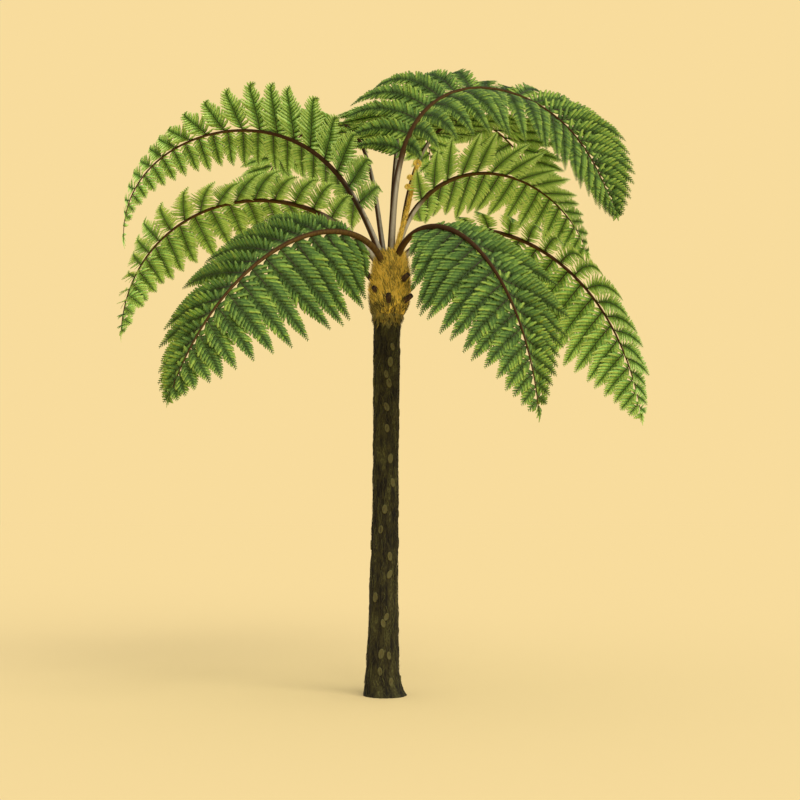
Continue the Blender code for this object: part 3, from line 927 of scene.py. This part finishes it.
def scale_tones(points, heights, rng):
    """Golden scales in drifts of deeper and paler ones, olive and dark towards the foot."""
    drift = np.array([noise.noise(Vector(point) * 11.0) for point in points])
    aside = Vector((3.0, 0.0, 0.0))
    patch = np.array([noise.noise(Vector(point) * 20.0 + aside) for point in points])
    fade = smoothstep(*DARKENING, heights + 0.10 * patch)
    kind = rng.uniform(0, 1, SCALE_COUNT) + 0.55 * drift
    shares = (kind < 0.24 + 0.80 * fade, kind < 0.42, kind < 0.82)
    tones = np.select(shares, (OLIVE, DEEP, BRIGHT), PALE)
    return np.where((fade > 0.6) & (rng.uniform(0, 1, SCALE_COUNT) < 0.35), DARK, tones)


def add_skirt(batch, rng):
    """Old scales that hang from the head over the top of the trunk, with a ragged lower edge."""
    bearings = rng.uniform(-math.pi, math.pi, SKIRT_COUNT)
    feet, drops = [], []
    for bearing in bearings:
        drop = rng.uniform(0.0, SKIRT_DROP + SKIRT_DROP * noise_round(bearing, 3.0, 0.0))
        height = HEAD_FOOT + SKIRT_TOP - drop
        if height < HEAD_FOOT:
            reach, shift = ring_at(TRUNK_RINGS, height)
            reach += trunk_relief(bearing, height)
        else:
            reach, shift = head_reach(bearing, height)
        feet.append(on_body(bearing, reach, shift, height))
        drops.append(drop)
    points, outs = (np.array(rows) for rows in zip(*feet))
    aside = rng.normal(0.0, 0.35, SKIRT_COUNT)[:, None]
    lift = rng.uniform(0.0, 0.22, SKIRT_COUNT)[:, None]
    ways = unit(-UP + outs * lift + np.cross(UP, outs) * aside)
    shapes = scale_shapes(points, ways, unit(np.cross(ways, outs)),
                          lengths=rng.uniform(0.025, 0.055, SKIRT_COUNT),
                          widths=rng.uniform(0.004, 0.009, SKIRT_COUNT),
                          curls=-rng.uniform(0, 0.006, SKIRT_COUNT))
    kind = rng.uniform(0, 1, SKIRT_COUNT) - 4.0 * np.array(drops)
    batch.add_each(shapes, np.select((kind > 0.62, kind > 0.12), (DEEP, OLIVE), DARK), SCALE_FACES)


def scale_materials():
    return [plain("scale_olive", GOLD_OLIVE, 0.7), plain("scale_deep", GOLD_DEEP, 0.7),
            plain("scale_gold", GOLD, 0.65), plain("scale_pale", GOLD_PALE, 0.6),
            plain("scale_dark", SCALE_DARK, 0.8)]


# ---------------------------------------------------------------- stalk stumps
STUMP_RADIUS = 0.022
STUMP_SIDES = 20
# bearing in degrees around the head's axis, height, rise in degrees above level, and length
STUMPS = (
    (188, 3.300, 50, 0.105),
    (310, 3.285, 26, 0.085),
    (324, 3.125, 28, 0.075),
    (228, 3.200, 30, 0.045),
    (268, 3.125, 50, 0.050),
    (20, 3.230, 40, 0.060),
    (75, 3.120, 40, 0.060),
    (135, 3.215, 40, 0.060),
)
# place along a stump and radius there, against STUMP_RADIUS
STUMP_OUTLINE = ((-0.5, 1.1), (0.0, 1.05), (0.45, 1.0), (0.8, 0.95), (0.95, 0.88), (1.0, 0.76))
CUT_STEPS = ((0.0025, 0.0006), (0.0025, -0.004), (0.004, -0.004))    # inset and rise at the end


def build_stumps():
    """Cut ends of old stalks: a stub with a rolled rim and a dark sunken cut."""
    skin = mottled("stump_skin", CUT_DARK, CUT_BROWN, 60.0, 0.4, 0.8)
    cut = mottled("stump_cut", CUT_DARK, CUT_BROWN, 130.0, 1.0, 0.9, balance=0.62)
    for number, (bearing, height, rise, length) in enumerate(STUMPS, start=1):
        bearing, rise = math.radians(bearing), math.radians(rise)
        root, outward = on_body(bearing, *head_reach(bearing, height), height)
        ahead = outward * math.cos(rise) + UP * math.sin(rise)
        path = np.array([root + ahead * length * along for along, _ in STUMP_OUTLINE])
        radii = [radius * STUMP_RADIUS for _, radius in STUMP_OUTLINE]
        bm = bmesh.new()
        sweep(bm, path, radii, STUMP_SIDES, outward)
        cap = max(bm.faces, key=lambda face: face.calc_center_median().dot(Vector(ahead)))
        for inset, step in CUT_STEPS:
            bmesh.ops.inset_individual(bm, faces=[cap], thickness=inset, use_even_offset=True)
            bmesh.ops.translate(bm, verts=list(cap.verts), vec=Vector(ahead) * step)
            for face in {face for vertex in cap.verts for face in vertex.link_faces}:
                face.material_index = 1
        piece = finish_bmesh(f"stump_{number}", bm, [skin, cut], sharp=50.0)
        place_on_plant(piece, "stipe_stump", f"stipe_stump_{number}")


# ---------------------------------------------------------------- stalks and ribs
STALK_SIDES = 14
STALK_STEPS = 90
STALK_WIDTH = 1.15                # against the radius of the part's midrib
TIP_END = 0.975                   # leaflets close the frond from here on
SHADE_SIDE = unit(np.array((-0.72, 0.10, 0.68)))   # stalks are painted dark brown on this side, as painted shade
BROWN_FADE = 0.03                 # along the frond, each way from browns_at


def build_stalk(frond, midrib, material):
    """Stalk and midrib in one tapering tube, with its brown colour, painted shade and painted light
    as attributes.
    """
    t = TIP_END * np.linspace(0.0, 1.0, STALK_STEPS) ** 1.1
    path = midrib.point(t)
    bm = bmesh.new()
    sweep(bm, path, midrib.radius(t) * STALK_WIDTH, STALK_SIDES)
    stalk = finish_bmesh(f"stalk_{frond.name}", bm, [material], sharp=60.0)
    points = np.zeros(len(stalk.data.vertices) * 3)
    stalk.data.vertices.foreach_get("co", points)
    points = points.reshape(-1, 3)
    nearest = np.argmin(((points[:, None] - path[None]) ** 2).sum(axis=-1), axis=1)
    faced = unit(points - path[nearest] + TINY) @ SHADE_SIDE
    far = smoothstep(frond.browns_at - BROWN_FADE, frond.browns_at + BROWN_FADE, t[nearest])
    # brown: the rachis's own colour beyond browns_at, and painted shade on the side facing
    # SHADE_SIDE
    store(stalk.data, "brown", np.maximum(far, smoothstep(0.0, 0.22, faced)))
    # gold: painted light, golden on the side turned away from SHADE_SIDE
    store(stalk.data, "gold", smoothstep(0.05, -0.50, faced))
    place_on_plant(stalk, "stipe", f"stipe_{frond.name}")


# ---------------------------------------------------------------- leaflets
# tones of a leaflet from its foot to its tip: upper side, underside, then a second, paler set; the
# darker tones at the foot are painted shade by the costa, and the pale edge tones are painted light
LEAF_TONES = (
    ("top_core", (0.046, 0.080, 0.016)), ("top_inner", (0.060, 0.114, 0.024)),
    ("top_body", (0.078, 0.152, 0.028)), ("top_edge", (0.170, 0.268, 0.050)),
    ("under_core", (0.130, 0.245, 0.040)), ("under_inner", (0.225, 0.410, 0.074)),
    ("under_body", (0.330, 0.570, 0.115)), ("under_edge", (0.500, 0.730, 0.185)),
    ("top_core_warm", (0.070, 0.125, 0.021)), ("top_inner_warm", (0.105, 0.190, 0.032)),
    ("top_body_warm", (0.155, 0.265, 0.040)), ("top_edge_warm", (0.290, 0.400, 0.065)),
    ("under_core_pale", (0.180, 0.355, 0.066)), ("under_inner_pale", (0.310, 0.570, 0.122)),
    ("under_body_pale", (0.445, 0.770, 0.175)), ("under_edge_pale", (0.610, 0.850, 0.240)),
)
BAND_ENDS = (0.14, 0.40, 0.74)    # of the core, the inner part and the body along a leaflet; the darker core and inner part are painted shade by the costa
# the paler tip and left margin of a leaflet are painted light
EDGE_BAND = 3
UNDERSIDE = 4                     # from a tone of the upper side to that of the underside
PALE_SET = 8                      # from a tone to its paler one


class LeafletShape:
    """A pointed, sickle-shaped leaflet with lobed edges: a thin lens, open at its foot.

    Each station has a left point, a right point and an upper and a lower point on the rib.
    """

    def __init__(self, lobes):
        self.stations = 2 * lobes + 1
        self.along = np.linspace(0.0, 1.0, self.stations)
        self.width = np.interp(self.along, *LEAFLET_OUTLINE)
        self.width[1::2] *= LOBE_WIDTH
        self.width[2::2] *= NOTCH_WIDTH
        self.lead = np.where(np.arange(self.stations) % 2 == 1, LOBE_LEAD, NOTCH_LEAD)
        at_base, at_tip = LEAFLET_ANGLES
        self.angle = np.radians(at_base + (at_tip - at_base) * self.along)
        step = np.diff(self.along, prepend=0.0)
        self.ahead = np.cumsum(np.cos(self.angle) * step)
        self.aside = np.cumsum(np.sin(self.angle) * step)
        self.faces, self.bands = self.make_faces()

    def make_faces(self):
        """Triangles between stations, and the tone of each: darker towards the foot as painted
        shade, and the left edge and the tip paler as painted light.
        """
        faces, bands = [], []
        for i in range(self.stations - 1):
            left, right, upper, lower = range(4 * i, 4 * i + 4)
            if i == self.stations - 2:
                tip = 4 * (i + 1)
                faces += [(left, upper, tip), (upper, right, tip),
                          (lower, left, tip), (right, lower, tip)]
            else:
                faces += [(left, upper, upper + 4), (left, upper + 4, left + 4),
                          (upper, right, right + 4), (upper, right + 4, upper + 4),
                          (lower, left, left + 4), (lower, left + 4, lower + 4),
                          (right, lower, lower + 4), (right, lower + 4, right + 4)]
            on_each_side = 1 if i == self.stations - 2 else 2
            middle = (i + 0.5) / (self.stations - 1)
            band = int(np.searchsorted(BAND_ENDS, middle))
            left_band = EDGE_BAND if middle > BAND_ENDS[1] else band
            for sheet in (0, UNDERSIDE):
                bands += [left_band + sheet] * on_each_side + [band + sheet] * on_each_side
        return np.array(faces), np.array(bands)

    def outward(self, tangent, across, up):
        """Faces in the order that makes them look outwards in these axes."""
        return self.faces[:, ::-1] if np.dot(np.cross(tangent, across), up) > 0 else self.faces

    def points(self, base, tangent, across, up, length, width, fold, curl):
        """Corner points of many leaflets: (how many, points, 3)."""
        rows = []
        for i, angle in enumerate(self.angle):
            centre = (tangent * self.ahead[i] + across * self.aside[i]) * length[:, None]
            centre = base + centre - up * (curl * self.along[i] ** 2 * length)[:, None]
            if i == self.stations - 1:
                rows.append(centre)
                continue
            ahead = tangent * math.cos(angle) + across * math.sin(angle)
            aside = tangent * math.sin(angle) - across * math.cos(angle)
            half = (width * self.width[i] / 2)[:, None]
            lead = ahead * (self.lead[i] * length)[:, None]
            drop = up * (fold * width * self.width[i] / 2)[:, None]
            rows += [centre + aside * half + lead + drop, centre - aside * half + lead + drop,
                     centre + up * LEAFLET_THICKNESS / 2, centre - up * LEAFLET_THICKNESS / 2]
        return np.stack(rows, axis=1)


COARSE, FINE, SIMPLE = (LeafletShape(lobes) for lobes in (2, 3, 5))


def swung(tangent, across, angle):
    """Two directions turned by an angle in radians within their plane."""
    angle = np.asarray(angle)[..., None]
    return (tangent * np.cos(angle) + across * np.sin(angle),
            across * np.cos(angle) - tangent * np.sin(angle))


def leaflet_profile(v, shoulder):
    """Length of a leaflet against the longest of its side leaf; shoulder is the lowest one's."""
    taper = 1.0 - 0.92 * np.clip((v - 0.22) / 0.78, 0.0, 1.0) ** 1.2
    return (shoulder + (1.0 - shoulder) * smoothstep(-0.02, 0.20, v)) * taper


def leaflet_places(pinna, longest, shoulder):
    """Where the leaflets spring from; they stand closer as they get shorter towards the tip."""
    v = np.linspace(min(BARE_FOOT / pinna.length, 0.2), 1.0, 200)
    widest = LEAFLET_PITCH * (longest / LEAFLET_LENGTH) ** 0.3
    pitch = widest * (0.45 + 0.55 * leaflet_profile(v, shoulder))
    passed = np.concatenate(([0.0], np.cumsum(np.diff(v) * pinna.length / pitch[1:])))
    count = max(int(passed[-1]), 4)
    places = np.interp((np.arange(count) + 0.4) * passed[-1] / count, passed, v)
    return places, np.interp(places, v, pitch)


def add_leaflets(batch, pinna, tones, slot, broad, rng):
    """Two rows of leaflets along a side leaf, down to its tip."""
    shoulder = SHOULDERS[slot]
    longest = LEAFLET_LENGTH * broad * (pinna.length / LEAFLET_REFERENCE) ** LENGTH_POWER
    shape = FINE if longest > FINE_LEAFLET else COARSE
    v, pitch = leaflet_places(pinna, longest, shoulder)
    count = len(v)
    for row in (1.0, -1.0):
        places = np.clip(v + row * 0.25 * pitch / pinna.length, 0.0, 0.995)
        length = longest * leaflet_profile(places, shoulder) * rng.uniform(0.93, 1.05, count)
        width = np.clip(pitch * LEAFLET_FILLS[slot], 0.0, length * 0.5)
        width = width * rng.uniform(0.94, 1.05, count)
        room = pinna.spread if row > 0 else 180.0 - pinna.spread
        foot = min(FOOT_ANGLE, room - FOOT_ROOM) - LEAFLET_ANGLES[0]
        reach = 0.16 if foot > 0 else 0.45
        swing = np.radians(rng.normal(0.0, 2.5, count) + foot * smoothstep(reach, 0.0, places))
        base = pinna.read(pinna.points, places)
        tangent, across, up = (unit(pinna.read(field, places))
                               for field in (pinna.tangent, pinna.across, pinna.up))
        turned, across = swung(tangent, across * row, swing)
        lift = rng.normal(0.05, 0.05, count)[:, None]
        across, up = unit(across + up * lift), unit(up - across * lift)
        fold = rng.uniform(0.08, 0.25, count)
        curl = rng.uniform(0.04, 0.14, count)
        points = shape.points(base, turned, across, up, length, width, fold, curl)
        faces = shape.outward(turned[0], across[0], up[0])
        paler = rng.uniform(0, 1, count) < tones
        batch.add(points[~paler], faces, shape.bands)
        batch.add(points[paler], faces, shape.bands + PALE_SET)


def add_simple_pinna(batch, pinna, tones, rng):
    """A short side leaf near the frond's tip: one lobed leaflet."""
    tangent, across, up = (unit(field[:1]) for field in (pinna.tangent, pinna.across, pinna.up))
    turned, aside = swung(tangent, across, math.radians(-LEAFLET_ANGLES[0]))
    length = np.array([pinna.length])
    points = SIMPLE.points(pinna.points[:1], turned, aside, up, length, width=length * 0.42,
                           fold=np.array([0.2]), curl=np.array([0.1]))
    faces = SIMPLE.outward(turned[0], aside[0], up[0])
    batch.add(points, faces, SIMPLE.bands + (PALE_SET if rng.uniform() < tones else 0))


def add_tip(batch, midrib, rng):
    """The last few leaflets close the blade around the end of its midrib."""
    t = TIP_END - np.array((0.016, 0.016, 0.008, 0.008, 0.0))
    lean = np.radians(np.array((30.0, -30.0, 20.0, -20.0, 0.0)) - 50.0)
    forward, left, top = (midrib.direction(field, t)
                          for field in (midrib.forward, midrib.left, midrib.top))
    turned, aside = swung(forward, left, lean)
    length = rng.uniform(0.060, 0.075, len(t))
    points = FINE.points(midrib.point(t), turned, aside, top, length, width=length * 0.3,
                         fold=np.full(len(t), 0.15), curl=np.full(len(t), 0.1))
    batch.add(points, FINE.outward(turned[0], aside[0], top[0]), FINE.bands + PALE_SET)


# ---------------------------------------------------------------- blades
COSTA_SIDES = 5                   # costae are the ribs of side leaves
COSTA_POINTS = 9
COSTA_RADIUS = 0.0046             # at the foot of a side leaf of LEAFLET_REFERENCE
COSTA_TIP = 0.0009
COSTA_FACES = tube_faces(COSTA_POINTS, COSTA_SIDES)
COSTA_SLOTS = np.where(np.arange(len(COSTA_FACES)) < 4 * COSTA_SIDES, 1, 0)    # a brown foot
PALE_AT_TIP = 0.9                 # share of pale leaflets at the tip of every blade


def pinna_stations(blade_length, pitch, start):
    """Where the side leaves of one row spring from, from 0 to 1 along a blade."""
    places, at = [], start
    near, far = PINNA_PITCH
    while at < LAST_PINNA:
        places.append(at)
        at += pitch * (near + (far - near) * at ** PITCH_POWER) / blade_length
    return places


def add_costa(batch, pinna):
    v = np.linspace(0.0, 0.99, COSTA_POINTS)
    foot = COSTA_RADIUS * (pinna.length / LEAFLET_REFERENCE) ** 0.5
    rib = tube_points(pinna.read(pinna.points, v), foot * (1.0 - v) ** 0.8 + COSTA_TIP, COSTA_SIDES)
    batch.add(rib[None], COSTA_FACES, COSTA_SLOTS)


def build_blade(frond, midrib, leaf_materials, costa_materials):
    rng = np.random.default_rng(SEED + sum(map(ord, frond.name)))
    leaflets, costae = FaceBatch(), FaceBatch()
    blade_length = frond.length * (1.0 - frond.stipe)
    stagger = ROW_STAGGER * PINNA_PITCH[0] / blade_length
    rows = zip((1, -1), (BLADE_START, BLADE_START + stagger), frond.pitch, frond.broad)
    for side, start, pitch, broad in rows:
        for u in pinna_stations(blade_length, pitch, start):
            tones = frond.pale + (PALE_AT_TIP - frond.pale) * smoothstep(0.25, 1.0, u) ** 1.5
            pinna = Pinna(midrib, u, side, rng)
            if pinna.length < SIMPLE_PINNA:
                add_simple_pinna(leaflets, pinna, tones, rng)
            else:
                add_leaflets(leaflets, pinna, tones, frond.slot, broad, rng)
                add_costa(costae, pinna)
    add_tip(leaflets, midrib, rng)
    leaf_piece = leaflets.build(f"leaflets_{frond.name}", leaf_materials)
    costa_piece = costae.build(f"costae_{frond.name}", costa_materials)
    place_on_plant(leaf_piece, frond.slot, f"blade_{frond.name}_inner", f"blade_{frond.name}_outer")
    place_on_plant(costa_piece, frond.slot)


def build_fronds():
    stalk = stalk_material()
    leaf_materials = [plain(name, colour, 0.7, 0.10) for name, colour in LEAF_TONES]
    costa_materials = [plain("costa_green", COSTA_GREEN, 0.55),
                       plain("costa_brown", COSTA_BROWN, 0.55)]
    for frond in FRONDS:
        midrib = Midrib(frond)
        build_stalk(frond, midrib, stalk)
        build_blade(frond, midrib, leaf_materials, costa_materials)


# ---------------------------------------------------------------- crozier
STEM_SIDES = 12
STEM_POINTS = 40
STEM_TAPER = 0.55                 # how much of its midrib's taper the stem takes
STEM_CORE = 0.92                  # radius of its skin, against the midrib's
HAIR_FOOT = 0.85                  # radius where its hairs start, against the midrib's
COIL_TURNS = 2.6
COIL_START = math.radians(200.0)
COIL_POINTS = 60
COIL_SIDES = 10
COIL_RIM = 0.80                   # of the spiral's centre line, against the part's coil
COIL_WIND = 0.80                  # how far it winds in, against its rim, as the next two are
COIL_RADIUS = 0.23                # of its strand at the rim
COIL_SHIFT = 0.012                # sideways from its start to its end
COIL_TAPER = 0.55                 # how much thinner the strand is at its end
COIL_HAIRS = 130
STEM_HAIRS = 2200


def coil_path(centre, rim):
    """A flat spiral that winds in from the rim, in the plane across Y."""
    f = np.linspace(0.0, 1.0, COIL_POINTS)
    angle = COIL_START - f * COIL_TURNS * math.tau
    reach = rim * (1.0 - COIL_WIND * f)
    places = (reach * np.cos(angle), COIL_SHIFT * f * rim, reach * np.sin(angle))
    return centre + np.stack(places, axis=-1), rim * COIL_RADIUS * (1.0 - COIL_TAPER * f)


def build_coil(node, felt, batch, rng):
    """A rolled-up young leaf in the place of its CAD node, with short hairs in batch."""
    low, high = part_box(node)
    rim = (high.x - low.x) / 2 * COIL_RIM
    path, radii = coil_path(np.array((low + high) / 2), rim)
    bm = bmesh.new()
    sweep(bm, path, radii, COIL_SIDES)
    place_on_plant(finish_bmesh(f"{node}_spiral", bm, [felt]), "crozier", node)
    spots = rng.integers(0, len(path), COIL_HAIRS)
    outs = unit(rng.normal(size=(COIL_HAIRS, 3)))
    across = unit(np.cross(outs, unit(rng.normal(size=(COIL_HAIRS, 3)))))
    hairs = scale_shapes(path[spots] + outs * rim * 0.12, outs, across,
                         lengths=rng.uniform(0.009, 0.016, COIL_HAIRS),
                         widths=rng.uniform(0.002, 0.004, COIL_HAIRS),
                         curls=rng.normal(0.0, 0.003, COIL_HAIRS))
    batch.add(hairs, SCALE_FACES, np.full(len(SCALE_FACES), BRIGHT))


def add_stem_hairs(batch, midrib, rng):
    """Golden hairs all round the stem, laid towards its tip."""
    along = rng.uniform(0.02, 1.0, STEM_HAIRS)
    turn = rng.uniform(0, math.tau, STEM_HAIRS)[:, None]
    forward = midrib.direction(midrib.forward, along)
    left = midrib.direction(midrib.left, along)
    outs = left * np.cos(turn) + np.cross(forward, left) * np.sin(turn)
    feet = midrib.point(along) + outs * (midrib.radius(along * STEM_TAPER) * HAIR_FOOT)[:, None]
    ways = unit(forward + outs * rng.uniform(0.15, 0.6, STEM_HAIRS)[:, None])
    hairs = scale_shapes(feet, ways, unit(np.cross(ways, outs)),
                         lengths=rng.uniform(0.018, 0.036, STEM_HAIRS),
                         widths=rng.uniform(0.003, 0.006, STEM_HAIRS),
                         curls=-rng.uniform(0, 0.006, STEM_HAIRS))
    tones = rng.choice((OLIVE, DEEP, BRIGHT, PALE), STEM_HAIRS, p=(0.05, 0.20, 0.40, 0.35))
    batch.add_each(hairs, tones, SCALE_FACES)


def build_crozier():
    """Young frond: a scaly stem, two small side coils and the rolled tip."""
    rng = np.random.default_rng(SEED + 5)
    midrib = Midrib(CROZIER)
    felt = mottled("crozier_felt", GOLD_DEEP, GOLD_PALE, 70.0, 0.3, 0.85, bump=0.4)
    t = np.linspace(0.0, 1.0, STEM_POINTS)
    bm = bmesh.new()
    sweep(bm, midrib.point(t), midrib.radius(t * STEM_TAPER) * STEM_CORE, STEM_SIDES)
    place_on_plant(finish_bmesh("crozier_stalk", bm, [felt]), "crozier", "crozier_stem")
    batch = FaceBatch()
    for name in (*range(1, SIDE_COILS + 1), "top"):
        build_coil(f"crozier_coil_{name}", felt, batch, rng)
    add_stem_hairs(batch, midrib, rng)
    place_on_plant(batch.build("crozier_scales", scale_materials()), "crozier")


# ---------------------------------------------------------------- stage
def build_camera():
    camera_data = bpy.data.cameras.new("camera")
    camera_data.lens = FOCAL_LENGTH
    camera_data.sensor_width = SENSOR_WIDTH
    camera_data.clip_end = 500.0
    camera = show("camera", camera_data)
    camera.location = CAMERA_PLACE
    camera.rotation_euler = (math.radians(90.0 + CAMERA_TILT), 0.0, 0.0)
    bpy.context.scene.camera = camera


def build_sun():
    sun_data = bpy.data.lights.new("sun", "SUN")
    sun_data.energy = SUN_STRENGTH
    sun_data.angle = math.radians(SUN_SPREAD)
    sun_data.color = SUN_COLOUR
    sun = show("sun", sun_data)
    bearing, height = math.radians(SUN_BEARING), math.radians(SUN_HEIGHT)
    towards = Vector((math.cos(height) * math.cos(bearing), math.cos(height) * math.sin(bearing),
                      math.sin(height)))
    sun.rotation_euler = towards.to_track_quat("Z", "Y").to_euler()


def build_world():
    """A soft sky that lights the plant, seen by the camera as plain paper."""
    world = bpy.data.worlds.new("studio")
    bpy.context.scene.world = world
    world.use_nodes = True
    nodes, link = world.node_tree.nodes, world.node_tree.links.new
    nodes.clear()
    soft = nodes.new("ShaderNodeBackground")
    soft.inputs["Color"].default_value = (*SKY_COLOUR, 1.0)
    soft.inputs["Strength"].default_value = SKY_STRENGTH
    seen = nodes.new("ShaderNodeBackground")
    seen.inputs["Color"].default_value = (*PAPER, 1.0)
    path = nodes.new("ShaderNodeLightPath")
    mix = nodes.new("ShaderNodeMixShader")
    output = nodes.new("ShaderNodeOutputWorld")
    link(path.outputs["Is Camera Ray"], mix.inputs["Fac"])
    link(soft.outputs["Background"], mix.inputs[1])
    link(seen.outputs["Background"], mix.inputs[2])
    link(mix.outputs["Shader"], output.inputs["Surface"])
    bpy.context.scene.view_settings.view_transform = "Standard"


def build_floor():
    """Level floor, coloured so that it looks like PAPER where no shadow falls."""
    bm = bmesh.new()
    bmesh.ops.create_grid(bm, x_segments=1, y_segments=1, size=FLOOR_SIZE / 2)
    fall = SUN_STRENGTH / math.pi * math.sin(math.radians(SUN_HEIGHT))
    level = [SKY_STRENGTH * sky + fall * sun for sky, sun in zip(SKY_COLOUR, SUN_COLOUR)]
    colour = tuple(min(paper / light, 1.0) for paper, light in zip(PAPER, level))
    floor = finish_bmesh("floor", bm, [plain("floor", colour, 1.0, 0.0)])


def main():
    build_camera()
    build_sun()
    build_world()
    build_floor()
    build_trunk()
    build_scars()
    build_rootlets()
    build_head()
    build_head_scales()
    build_stumps()
    build_fronds()
    build_crozier()


main()
